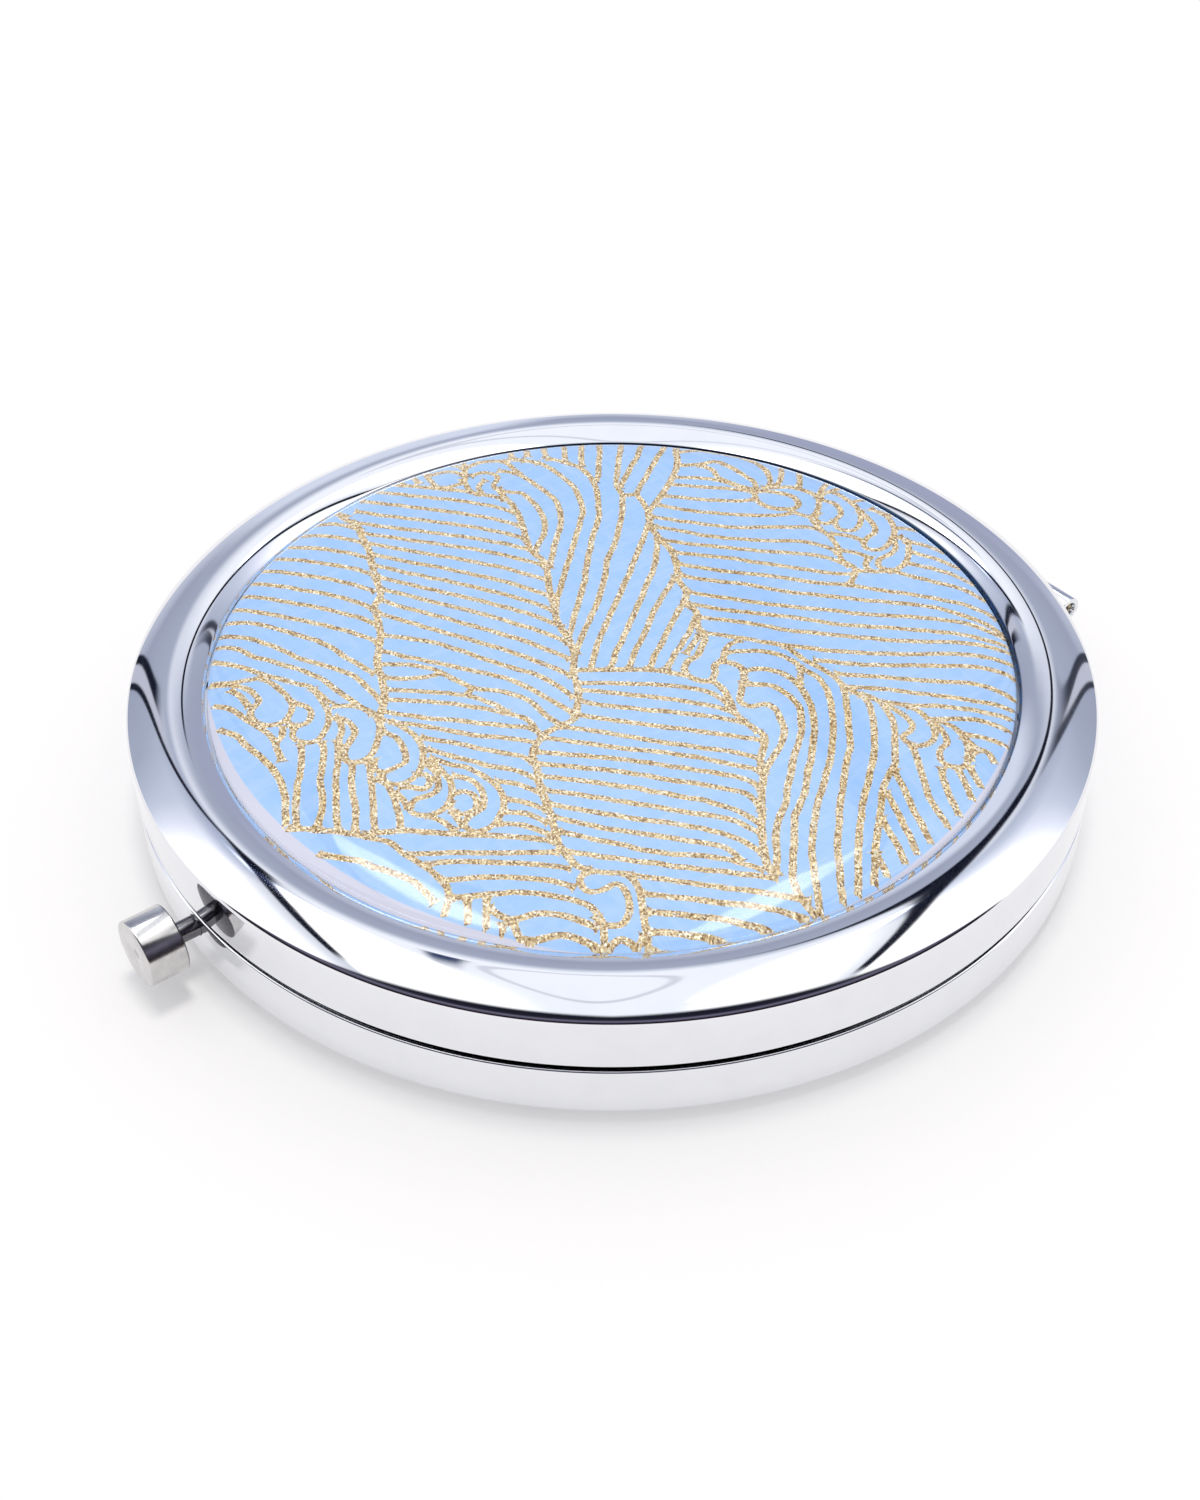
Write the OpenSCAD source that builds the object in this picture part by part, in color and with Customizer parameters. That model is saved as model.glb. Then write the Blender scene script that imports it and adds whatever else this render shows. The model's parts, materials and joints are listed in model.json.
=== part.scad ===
// Round push-button compact mirror, closed, standing on its base.
// Millimetres, +Z up, origin at the centre of the flat underside.
// The button points to -Y and the hinge barrel lies across +Y.

/* [Case] */
// Outside diameter of both halves
case_d = 70; // [62:0.5:78]
// Thickness of the pressed metal shells
shell_t = 0.5; // [0.4:0.05:0.6]
// Height of the base half from the table to its rim
base_h = 4.8; // [4.7:0.05:5.4]
// Gap between the rims of the closed halves
seam_gap = 0.45; // [0.3:0.05:0.6]
// Width of the rounded turn between the flat underside and the base wall
turn_w = 4.5; // [3:0.1:6]
// Height of the same turn
turn_h = 1.35; // [1:0.05:1.6]
// Rounding of both rims, on the outside
rim_round = 0.15; // [0.1:0.01:0.2]

/* [Lid ring] */
// Height of the ring's crown above the lid's rim
crown_h = 5; // [4.8:0.05:5.6]
// Distance of the crown from the outside wall
crown_in = 3; // [2.9:0.05:3.2]
// Radius of the ring's convex section
ring_r = 4.8; // [4.7:0.05:5.4]
// Fillet between the ring and the lid wall
ring_fillet = 0.6; // [0.5:0.05:0.8]
// Width of the ring from the outside wall to the recess
ring_w = 5.6; // [5.4:0.05:5.8]
// Depth of the recess floor below the crown
recess_depth = 1.5; // [1.4:0.05:1.6]
// Rounding where the ring turns down into the recess
lip_r = 0.4; // [0.2:0.05:0.5]

/* [Insert] */
// Thickness of the adhesive film under the paper
film_t = 0.1; // [0.05:0.01:0.15]
// Thickness of the printed paper
paper_t = 0.15; // [0.1:0.01:0.25]
// Gap between the dome and the wall of the recess
insert_gap = 0.2; // [0.1:0.05:0.3]
// How far the paper stops inside the edge of the dome
paper_inset = 0.25; // [0.2:0.05:0.5]
// Height of the clear dome over the paper
dome_h = 1.55; // [1.2:0.05:1.8]
// Height of the dome's upright edge
dome_edge_h = 0.35; // [0.2:0.05:0.5]
// Width of the dome's rounded shoulder
dome_shoulder_w = 3.2; // [2:0.1:5]
// Rise of the dome's nearly flat middle
dome_rise = 0.2; // [0.1:0.05:0.3]

/* [Mirror frames] */
// Thickness of the frames' sheet
frame_t = 0.4; // [0.3:0.05:0.45]
// Depth of each frame's flange below its rim
frame_drop = 0.35; // [0.3:0.05:0.5]
// Width of each flange from the shell wall to the mirror opening
flange_w = 6.9; // [6.8:0.05:7.5]
// Depth of the turned lip below the flange's hidden face
lip_h = 0.25; // [0.2:0.05:0.3]
// Height of each frame's press-in skirt below the flange's visible face
skirt_h = 2.7; // [2.4:0.1:2.8]
// Rounding of each frame's turned edges
frame_round = 0.3; // [0.15:0.05:0.3]
// How far the lip laps over the edge of the mirror
lip_lap = 0.8; // [0.6:0.05:0.9]

/* [Mirrors] */
// Thickness of the mirror glass
mirror_t = 1.3; // [1:0.05:1.4]
// Depth of the magnifying mirror's hollow at its centre
hollow_depth = 0.7; // [0.3:0.05:0.8]
// Thickness of the card disc under the base mirror
card_t = 1; // [0.6:0.1:1]
// How far the pads and the card stop inside the mirror's edge
pad_inset = 0.8; // [0.5:0.1:1.5]

/* [Hinge] */
// Diameter of the hinge pin
pin_d = 1.2; // [1.1:0.05:1.3]
// Thickness of the hinge leaves, which also roll into the knuckles
leaf_t = 0.4; // [0.3:0.02:0.42]
// Length of the barrel
barrel_l = 24.6; // [22:0.2:25]
// Length of the base leaf's middle knuckle
middle_l = 4.6; // [4:0.2:5]
// Length of each of the lid leaf's knuckles
lid_knuckle_l = 5; // [4:0.2:5.2]
// Gap between the barrel and the wall of the case
barrel_gap = 0.2; // [0.15:0.05:0.4]
// Depth of the pin's ends inside the barrel
pin_recess = 0.5; // [0.2:0.05:0.8]

/* [Button] */
// Diameter of the push button
button_d = 4.8; // [4.4:0.1:5]
// Length of the push button
button_l = 2.75; // [2.2:0.05:3.2]
// Free length of the stem between the wall and the button
stem_free = 1.75; // [1.5:0.05:2]
// Diameter of the stem
stem_d = 1.5; // [1.3:0.05:1.6]
// Depth of the stem's axis below the rim of the base
stem_drop = 1.05; // [1:0.01:1.1]
// Travel of the button
travel = 0.95; // [0.85:0.05:1]

/* [Latch] */
// Length of the sliding latch plate
slide_l = 3.3; // [3.1:0.05:3.5]
// Width of the sliding latch plate's middle
slide_w = 5.2; // [4.8:0.1:5.4]
// Thickness of the hook's upright
hook_t = 0.8; // [0.7:0.05:0.9]
// Width of the hook
hook_w = 3.2; // [2.8:0.1:3.4]
// Reach of the hook's nose
nose_l = 0.8; // [0.75:0.05:0.9]
// Height of the hook's nose
nose_h = 0.7; // [0.5:0.05:0.8]
// Thickness of the catch plate in the lid
catch_t = 0.5; // [0.4:0.05:0.6]
// Wire of the two return springs
wire_d = 0.22; // [0.18:0.01:0.25]
// Outside diameter of the return springs
spring_d = 1.3; // [1.2:0.02:1.34]
// Turns of each return spring
spring_turns = 5; // [4:1:5]

/* [Hidden] */
$fn = 160;

// Clearances shared by several pieces
fit_gap = 0.05;      // a frame's skirt in its shell, the pin in its knuckles, the stem in the wall
rivet_gap = 0.02;    // a shank in its hole
slide_gap = 0.1;     // the latch slider in its guide
body_gap = 0.3;      // the hook and the pieces of the lid
overrun = 0.5;       // how far a cut runs past the face it opens
arc_steps = 10;      // segments in the arc of a turned profile

// Radii, from the outside wall inwards
case_r = case_d / 2;
wall_in_r = case_r - shell_t;
skirt_out_r = wall_in_r - fit_gap;
skirt_in_r = skirt_out_r - frame_t;
frame_in_r = wall_in_r - flange_w;
mirror_r = frame_in_r + lip_lap;
pad_r = mirror_r - pad_inset;
crown_r = case_r - crown_in;
recess_r = case_r - ring_w;
dome_r = recess_r - insert_gap;
paper_r = dome_r - paper_inset;

// Heights in the base, from the rim downwards
flange_top = base_h - frame_drop;
flange_low = flange_top - frame_t;
base_mirror_top = flange_low - lip_h;
base_mirror_low = base_mirror_top - mirror_t;
card_top = shell_t + card_t;

// Heights in the lid, from the rim upwards
lid_rim = base_h + seam_gap;
lid_flange_low = lid_rim + frame_drop;
lid_flange_top = lid_flange_low + frame_t;
lid_mirror_low = lid_flange_top + lip_h;
lid_mirror_top = lid_mirror_low + mirror_t;
crown_z = lid_rim + crown_h;
ring_z = crown_z - ring_r;
recess_z = crown_z - recess_depth;
paper_z = recess_z + film_t;
dome_z = paper_z + paper_t;

// Ring section: its hidden side, and where the fillet and the rounded lip touch it
ring_in_r = ring_r - shell_t;
fillet_dx = crown_in - ring_fillet;
fillet_dz = sqrt(pow(ring_r - ring_fillet, 2) - pow(fillet_dx, 2));
fillet_z = ring_z + fillet_dz;
fillet_angle = atan2(fillet_dz, fillet_dx);
lip_dx = ring_w - crown_in - lip_r;
lip_dz = sqrt(pow(ring_r - lip_r, 2) - pow(lip_dx, 2));
lip_angle = atan2(lip_dz, -lip_dx);

// Hinge leaves and barrel
leaf_inset = 1.2;    // from the edge of the mirror to the leaves
leaf_flat = 2.4;     // length of the lid leaf's riveted part
leaf_step = 0.6;     // length of the step that brings it down to the barrel
leaf_margin = 0.2;   // beside a leaf in the notch it passes through
knuckle_gap = 0.2;   // between neighbouring knuckles
curl_slit = 0.12;    // where the rolled end stops short of the leaf
pin_bevel = 0.14;    // around both ends of the pin
knuckle_r = pin_d / 2 + fit_gap + leaf_t;
hinge_y = case_r + barrel_gap + knuckle_r;
hinge_z = flange_low - leaf_t + knuckle_r;
barrel_half = barrel_l / 2;
lid_knuckle_x = middle_l / 2 + knuckle_gap;
lid_leaf_half = lid_knuckle_x + lid_knuckle_l;
end_knuckle_x = lid_leaf_half + knuckle_gap;
leaf_edge_y = mirror_r + leaf_inset;
leaf_bend_y = leaf_edge_y + leaf_flat;
leaf_low_y = leaf_bend_y + leaf_step;
lid_strap_top = hinge_z + knuckle_r;

// Rivets
rivet_d = 1.2;
rivet_head_d = 1.9;
rivet_head_h = 0.25;
rivet_edge = 0.1;    // from a rivet's head to the edge of the leaf
base_rivet_x = barrel_half - rivet_head_d - leaf_inset;
lid_rivet_x = (lid_knuckle_x + lid_leaf_half) / 2;
leaf_rivet_y = leaf_edge_y + rivet_head_d / 2 + rivet_edge;

// Stem and button, measured from the middle of the case towards -Y
stem_z = base_h - stem_drop;
tenon_d = 1;
tenon_l = 1.3;
cap_bevel = 0.12;
dimple_d = 0.56;     // mark of the lathe's centre in the button's end
dimple_h = 0.07;
cap_bore_l = 1.5;
cap_rear = case_r + stem_free;
cap_front = cap_rear + button_l;

// Latch slider and hook, measured the same way
slide_inset = 0.35;  // from the frame's skirt to the slider
slide_t = 0.5;
hook_inset = 1.6;    // from the slider's front to the hook
hook_margin = 0.6;   // beside the hook in both flanges
hook_over = 0.45;    // beyond the hook's travel in both flanges
tip_h = 0.25;        // upright part of the nose's tip
boss_wall = 0.4;     // under the tenon
boss_cover = 0.15;   // over the tenon
boss_gap = 0.25;     // from the boss to the floor of the guide
shoulder_l = 0.6;
runner_w = 0.4;
slide_front = skirt_in_r - slide_inset;
slide_rear = slide_front - slide_l;
slide_top = flange_low - slide_gap;
hook_front = slide_front - hook_inset;
hook_rear = hook_front - hook_t;
hook_tip = hook_front + nose_l;
keeper_y = hook_front + body_gap;
window_rear = hook_rear - travel - hook_over;
window_half = hook_w / 2 + hook_margin;
catch_top = lid_flange_top + catch_t;
nose_low = catch_top + body_gap;
hook_top = nose_low + nose_h;
boss_low = stem_z - tenon_d / 2 - boss_wall;
boss_top = stem_z + tenon_d / 2 + boss_cover;

// Guide tray, return springs and catch plate
guide_t = 0.3;
guide_gap = 0.2;     // from the mirror to the tray, and beside the slider's shoulders
spring_lane = 1.9;   // width of the channel that holds a spring
ear_w = 2.6;
ear_l = 3.2;
catch_side = 2.8;    // width of the catch plate beside its window
gate_margin = 0.6;   // beside the tray in the skirt of the base frame
guide_half = slide_w / 2 + spring_lane;
shoulder_half = guide_half - guide_gap;
guide_rear = mirror_r + guide_gap;
guide_floor = boss_low - boss_gap;
guide_low = guide_floor - guide_t;
runner_low = guide_floor + slide_gap;
ear_y = (slide_front + slide_rear) / 2;
guide_rivet_x = guide_half + guide_t + ear_w / 2;
catch_half = window_half + catch_side;
catch_rivet_x = window_half + catch_side / 2;
spring_x = slide_w / 2 + spring_lane / 2;
spring_z = guide_floor + spring_d / 2 + fit_gap;
spring_front = slide_front - shoulder_l - fit_gap;
spring_rear = guide_rear + guide_t + fit_gap;
coil_r = (spring_d - wire_d) / 2;
coil_rise = spring_front - spring_rear - wire_d;
wire_sides = 6;
coil_rings = 8;      // rings of the wire in each turn

// Arc about (cx, cy) from angle a to angle b
function arc(cx, cy, r, a, b, n = arc_steps) =
    [for (i = [0 : n]) let (t = a + (b - a) * i / n) [cx + r * cos(t), cy + r * sin(t)]];

// Quarter ellipse from the flat underside out to the wall
function turn(w, h, n = arc_steps) =
    [for (i = [0 : n]) let (t = 90 * i / n) [case_r - turn_w + w * sin(t), turn_h - h * cos(t)]];

function reversed(list) = [for (i = [len(list) - 1 : -1 : 0]) list[i]];

// Angle at which a circle of radius r about the crown's centre reaches radius x
function ring_angle(x, r) = acos((x - crown_r) / r);

// Draws a profile of Y and Z, drawn out from x0 to x1
module along_x(x0, x1) {
    translate([x0, 0, 0]) rotate([90, 0, 90]) linear_extrude(x1 - x0) children();
}

// Block between two corners
module block(low, high) {
    translate(low) cube(high - low);
}

// Turns a shape from +Z to the button's axis
module on_button_axis() {
    translate([0, 0, stem_z]) rotate([90, 0, 0]) children();
}

// Round-headed rivet: its head stands on z = 0 and its grip lies below
module rivet(grip) {
    head_r = rivet_head_d / 2;
    shank_r = rivet_d / 2;
    tail_r = (head_r + shank_r) / 2;
    rotate_extrude() polygon(concat(
        [for (a = [90 : -15 : 0]) [head_r * cos(a), rivet_head_h * sin(a)]],
        [[shank_r, 0], [shank_r, -grip], [tail_r, -grip],
         [tail_r, -grip - rivet_head_h], [0, -grip - rivet_head_h]]));
}

module rivet_hole(x, y) {
    translate([x, y, 0]) cylinder(h = 2 * crown_z, d = rivet_d + 2 * rivet_gap, center = true);
}

// Pressed ring with a skirt outside and a turned lip inside; its visible face is at z = 0
module frame_ring() {
    rotate_extrude() polygon(concat(
        [[skirt_in_r, -skirt_h], [skirt_out_r, -skirt_h]],
        arc(skirt_out_r - frame_round, -frame_round, frame_round, 0, 90, 4),
        arc(frame_in_r + frame_round, -frame_round, frame_round, 90, 180, 4),
        [[frame_in_r, -frame_t - lip_h], [frame_in_r + frame_t, -frame_t - lip_h],
         [frame_in_r + frame_t, -frame_t], [skirt_in_r, -frame_t]]));
}

// Section of a rolled knuckle about (0, 0), with its strap along the bottom
module curl(strap_l) {
    difference() {
        union() {
            circle(knuckle_r);
            translate([-strap_l, -knuckle_r]) square([strap_l, leaf_t]);
        }
        circle(pin_d / 2 + fit_gap);
        translate([-knuckle_r, leaf_t - knuckle_r]) square([knuckle_r, curl_slit]);
    }
}

// Centre of the wire at step i of a return spring, about its own axis
function coil_point(i) = let (a = 360 * i / coil_rings)
    [coil_r * cos(a), coil_r * sin(a), wire_d / 2 + coil_rise * i / (coil_rings * spring_turns)];

// Coil spring along +Z, one unbroken wire
module return_spring() {
    rings = coil_rings * spring_turns;
    lean = atan2(coil_rise / spring_turns, 2 * PI * coil_r);
    points = [for (i = [0 : rings]) let (a = 360 * i / coil_rings) for (j = [0 : wire_sides - 1])
        let (s = 360 * j / wire_sides, u = wire_d / 2 * cos(s), v = wire_d / 2 * sin(s))
        coil_point(i) + [u * cos(a) + v * sin(lean) * sin(a), u * sin(a) - v * sin(lean) * cos(a),
                         v * cos(lean)]];
    sides = [for (i = [0 : rings - 1]) for (j = [0 : wire_sides - 1])
        let (a = i * wire_sides + j, b = i * wire_sides + (j + 1) % wire_sides)
        each [[a, a + wire_sides, b], [b, a + wire_sides, b + wire_sides]]];
    first = [for (j = [1 : wire_sides - 2]) [0, j, j + 1]];
    last_ring = rings * wire_sides;
    last = [for (j = [1 : wire_sides - 2]) [last_ring, last_ring + j + 1, last_ring + j]];
    polyhedron(points, concat(sides, first, last));
}

// Least gap between the wire and its own other turns
coil_last = coil_rings * spring_turns;
coil_gap = min([for (i = [0 : coil_last]) for (j = [i + coil_rings / 2 : coil_last])
    norm(coil_point(i) - coil_point(j))]) - wire_d;
echo(return_spring_least_gap = coil_gap);

// Base

module base_shell() {
    color("silver") difference() {
        rotate_extrude() polygon(concat(
            [[0, 0]],
            turn(turn_w, turn_h),
            arc(case_r - rim_round, base_h - rim_round, rim_round, 0, 90, 4),
            [[wall_in_r, base_h]],
            reversed(turn(turn_w - shell_t, turn_h - shell_t)),
            [[0, shell_t]]));
        on_button_axis() translate([0, 0, skirt_in_r])
            cylinder(h = case_r - skirt_in_r + overrun, d = stem_d + 2 * fit_gap);
        block([-barrel_half - leaf_margin, frame_in_r, flange_low - leaf_t - leaf_margin],
              [barrel_half + leaf_margin, case_r + overrun, base_h + overrun]);
    }
}

module base_frame() {
    skirt_low = flange_top - skirt_h - overrun;
    gate_half = guide_half + guide_t + gate_margin;
    color("gainsboro") difference() {
        translate([0, 0, flange_top]) frame_ring();
        block([-window_half, -case_r, skirt_low], [window_half, -window_rear, base_h]);
        block([-gate_half, -case_r, skirt_low], [gate_half, -slide_rear, flange_low]);
        block([-barrel_half - leaf_margin, leaf_edge_y, flange_low - leaf_t - leaf_margin],
              [barrel_half + leaf_margin, case_r, flange_low]);
        for (x = [-1, 0, 1]) rivet_hole(x * base_rivet_x, leaf_rivet_y);
        for (x = [-1, 1]) rivet_hole(x * guide_rivet_x, -ear_y);
    }
}

// Magnifying mirror: a flat rim under the lip and a shallow round hollow
module base_mirror() {
    hollow_r = frame_in_r - frame_t;
    color("lightcyan") rotate_extrude() polygon(concat(
        [[0, base_mirror_low], [mirror_r, base_mirror_low], [mirror_r, base_mirror_top]],
        [for (i = [arc_steps : -1 : 0]) let (s = i / arc_steps)
            [hollow_r * s, base_mirror_top - hollow_depth * (1 - s * s)]]));
}

module base_mirror_pad() {
    color("dimgray") translate([0, 0, card_top])
        cylinder(h = base_mirror_low - card_top, r = pad_r);
}

module base_card() {
    color("tan") translate([0, 0, shell_t]) cylinder(h = card_t, r = pad_r);
}

module base_hinge_leaf() {
    strap_l = hinge_y - leaf_bend_y;
    color("silver") difference() {
        union() {
            block([-barrel_half, leaf_edge_y, hinge_z - knuckle_r],
                  [barrel_half, leaf_bend_y, hinge_z - knuckle_r + leaf_t]);
            for (span = [[-barrel_half, -end_knuckle_x], [-middle_l / 2, middle_l / 2],
                         [end_knuckle_x, barrel_half]])
                along_x(span[0], span[1]) translate([hinge_y, hinge_z]) curl(strap_l);
        }
        for (x = [-1, 0, 1]) rivet_hole(x * base_rivet_x, leaf_rivet_y);
    }
}

module hinge_pin() {
    half = barrel_half - pin_recess;
    pin_r = pin_d / 2;
    color("goldenrod") translate([0, hinge_y, hinge_z]) rotate([0, 90, 0])
        rotate_extrude() polygon([
            [0, -half], [pin_r - pin_bevel, -half], [pin_r, pin_bevel - half],
            [pin_r, half - pin_bevel], [pin_r - pin_bevel, half], [0, half]]);
}

module base_leaf_rivets() {
    color("silver") for (x = [-1, 0, 1])
        translate([x * base_rivet_x, leaf_rivet_y, flange_top]) rivet(frame_t + leaf_t);
}

// Folded tray that carries the slider and stops the springs
module latch_guide() {
    outer = guide_half + guide_t;
    color("darkgray") difference() {
        intersection() {
            union() {
                block([-outer, -skirt_in_r, guide_low], [outer, -guide_rear, guide_floor]);
                block([-outer, -guide_rear - guide_t, guide_low], [outer, -guide_rear, flange_low]);
                for (side = [0, 1]) mirror([side, 0, 0]) {
                    block([guide_half, -skirt_in_r, guide_low], [outer, -guide_rear, flange_low]);
                    block([guide_half, -ear_y - ear_l / 2, flange_low - guide_t],
                          [outer + ear_w, -ear_y + ear_l / 2, flange_low]);
                }
            }
            cylinder(h = crown_z, r = skirt_in_r - fit_gap);
        }
        for (x = [-1, 1]) rivet_hole(x * guide_rivet_x, -ear_y);
    }
}

module guide_rivets() {
    color("silver") for (x = [-1, 1])
        translate([x * guide_rivet_x, -ear_y, flange_top]) rivet(frame_t + guide_t);
}

module return_spring_at(side) {
    color("lightsteelblue") translate([side * spring_x, -spring_rear, spring_z])
        rotate([90, 0, 0]) return_spring();
}

module return_spring_left() { return_spring_at(-1); }

module return_spring_right() { return_spring_at(1); }

// Button and latch slider

module button_cap() {
    cap_r = button_d / 2;
    bore_r = stem_d / 2 + rivet_gap;
    color("lightgray") on_button_axis() rotate_extrude() polygon([
        [bore_r, cap_rear], [cap_r - cap_bevel, cap_rear], [cap_r, cap_rear + cap_bevel],
        [cap_r, cap_front - cap_bevel], [cap_r - cap_bevel, cap_front],
        [dimple_d / 2, cap_front], [0, cap_front - dimple_h],
        [0, cap_rear + cap_bore_l], [bore_r, cap_rear + cap_bore_l]]);
}

module button_stem() {
    color("silver") on_button_axis() rotate_extrude() polygon([
        [0, slide_front - tenon_l], [tenon_d / 2, slide_front - tenon_l],
        [tenon_d / 2, slide_front], [stem_d / 2, slide_front],
        [stem_d / 2, cap_rear + cap_bore_l], [0, cap_rear + cap_bore_l]]);
}

module latch_slider() {
    color("darkgray") difference() {
        union() {
            block([-slide_w / 2, -slide_front, slide_top - slide_t],
                  [slide_w / 2, -slide_rear, slide_top]);
            block([-shoulder_half, -slide_front, runner_low],
                  [shoulder_half, -slide_front + shoulder_l, slide_top]);
            for (side = [0, 1]) mirror([side, 0, 0])
                block([slide_w / 2 - runner_w, -slide_front, runner_low],
                      [slide_w / 2, -slide_rear, slide_top]);
            block([-hook_w / 2, -slide_front, boss_low], [hook_w / 2, -hook_rear, boss_top]);
            along_x(-hook_w / 2, hook_w / 2) polygon([
                [-hook_rear, boss_low], [-hook_rear, hook_top], [-hook_front, hook_top],
                [-hook_tip, nose_low + tip_h], [-hook_tip, nose_low],
                [-hook_front, nose_low], [-hook_front, boss_low]]);
        }
        on_button_axis() translate([0, 0, slide_front - tenon_l])
            cylinder(h = tenon_l + overrun, d = tenon_d + 2 * rivet_gap);
    }
}

// Lid

module lid_shell() {
    color("silver") difference() {
        rotate_extrude() polygon(concat(
            [[0, recess_z], [recess_r, recess_z]],
            arc(recess_r + lip_r, ring_z + lip_dz, lip_r, 180, lip_angle, 4),
            arc(crown_r, ring_z, ring_r, lip_angle, fillet_angle),
            arc(case_r - ring_fillet, fillet_z, ring_fillet, fillet_angle, 0, 6),
            arc(case_r - rim_round, lid_rim + rim_round, rim_round, 0, -90, 4),
            [[wall_in_r, lid_rim]],
            arc(crown_r, ring_z, ring_in_r, ring_angle(wall_in_r, ring_in_r),
                ring_angle(recess_r + shell_t, ring_in_r)),
            [[recess_r + shell_t, recess_z - shell_t], [0, recess_z - shell_t]]));
        block([-lid_leaf_half - leaf_margin, frame_in_r, lid_rim - overrun],
              [lid_leaf_half + leaf_margin, case_r + overrun, lid_strap_top + leaf_margin]);
    }
}

module lid_frame() {
    color("gainsboro") difference() {
        translate([0, 0, lid_flange_low]) mirror([0, 0, 1]) frame_ring();
        block([-window_half, -keeper_y, lid_rim], [window_half, -window_rear, catch_top]);
        block([-lid_leaf_half - leaf_margin, leaf_bend_y - leaf_margin, lid_rim],
              [lid_leaf_half + leaf_margin, case_r, lid_flange_top + leaf_t + leaf_margin]);
        for (x = [-1, 1]) rivet_hole(x * lid_rivet_x, leaf_rivet_y);
        for (x = [-1, 1]) rivet_hole(x * catch_rivet_x, -ear_y);
    }
}

module lid_mirror() {
    color("lightcyan") translate([0, 0, lid_mirror_low]) cylinder(h = mirror_t, r = mirror_r);
}

module lid_mirror_pad() {
    color("dimgray") translate([0, 0, lid_mirror_top])
        cylinder(h = recess_z - shell_t - lid_mirror_top, r = pad_r);
}

// Riveted part on the hidden side of the flange, a step down, and two knuckles
module lid_hinge_leaf() {
    strap_low = lid_strap_top - leaf_t;
    color("silver") difference() {
        union() {
            along_x(-lid_leaf_half, lid_leaf_half) polygon([
                [leaf_edge_y, lid_flange_top], [leaf_bend_y, lid_flange_top],
                [leaf_low_y, strap_low], [leaf_low_y + leaf_t, strap_low],
                [leaf_low_y + leaf_t, lid_strap_top], [leaf_low_y, lid_strap_top],
                [leaf_bend_y, lid_flange_top + leaf_t], [leaf_edge_y, lid_flange_top + leaf_t]]);
            for (side = [0, 1]) mirror([side, 0, 0]) along_x(lid_knuckle_x, lid_leaf_half)
                translate([hinge_y, hinge_z]) mirror([0, 1]) curl(hinge_y - leaf_low_y);
        }
        for (x = [-1, 1]) rivet_hole(x * lid_rivet_x, leaf_rivet_y);
    }
}

module lid_leaf_rivets() {
    color("silver") for (x = [-1, 1])
        translate([x * lid_rivet_x, leaf_rivet_y, lid_flange_low]) mirror([0, 0, 1])
            rivet(frame_t + leaf_t);
}

// Steel plate behind the lid's flange, whose window edge the hook holds
module lid_catch() {
    color("darkgray") difference() {
        intersection() {
            block([-catch_half, -skirt_in_r, lid_flange_top], [catch_half, -leaf_edge_y, catch_top]);
            cylinder(h = crown_z, r = skirt_in_r - fit_gap);
        }
        block([-window_half, -keeper_y, lid_rim], [window_half, -window_rear, crown_z]);
        for (x = [-1, 1]) rivet_hole(x * catch_rivet_x, -ear_y);
    }
}

module catch_rivets() {
    color("silver") for (x = [-1, 1])
        translate([x * catch_rivet_x, -ear_y, lid_flange_low]) mirror([0, 0, 1])
            rivet(frame_t + catch_t);
}

// Insert on the lid

module insert_film() {
    color("whitesmoke") translate([0, 0, recess_z]) cylinder(h = film_t, r = paper_r);
}

module printed_paper() {
    color([0.66, 0.8, 0.97]) translate([0, 0, paper_z]) cylinder(h = paper_t, r = paper_r);
}

// Clear dome: an upright edge, a rounded shoulder and a nearly flat middle
module clear_dome() {
    flat_r = dome_r - dome_shoulder_w;
    shoulder_h = dome_h - dome_edge_h - dome_rise;
    color([0.85, 0.92, 1, 0.35]) translate([0, 0, dome_z]) rotate_extrude() polygon(concat(
        [[0, 0], [dome_r, 0]],
        [for (i = [0 : arc_steps]) let (t = 90 * i / arc_steps)
            [flat_r + dome_shoulder_w * cos(t), dome_edge_h + shoulder_h * sin(t)]],
        [for (i = [arc_steps - 1 : -1 : 0]) let (s = i / arc_steps)
            [flat_r * s, dome_h - dome_rise * s * s]]));
}

base_shell();
base_frame();
base_mirror();
base_mirror_pad();
base_card();
base_hinge_leaf();
hinge_pin();
base_leaf_rivets();
latch_guide();
guide_rivets();
return_spring_left();
return_spring_right();
button_cap();
button_stem();
latch_slider();
lid_shell();
lid_frame();
lid_mirror();
lid_mirror_pad();
lid_hinge_leaf();
lid_leaf_rivets();
lid_catch();
catch_rivets();
insert_film();
printed_paper();
clear_dome();
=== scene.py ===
import json
import math

import bpy
from mathutils import Matrix, Vector, noise
from mathutils.geometry import interpolate_bezier

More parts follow.
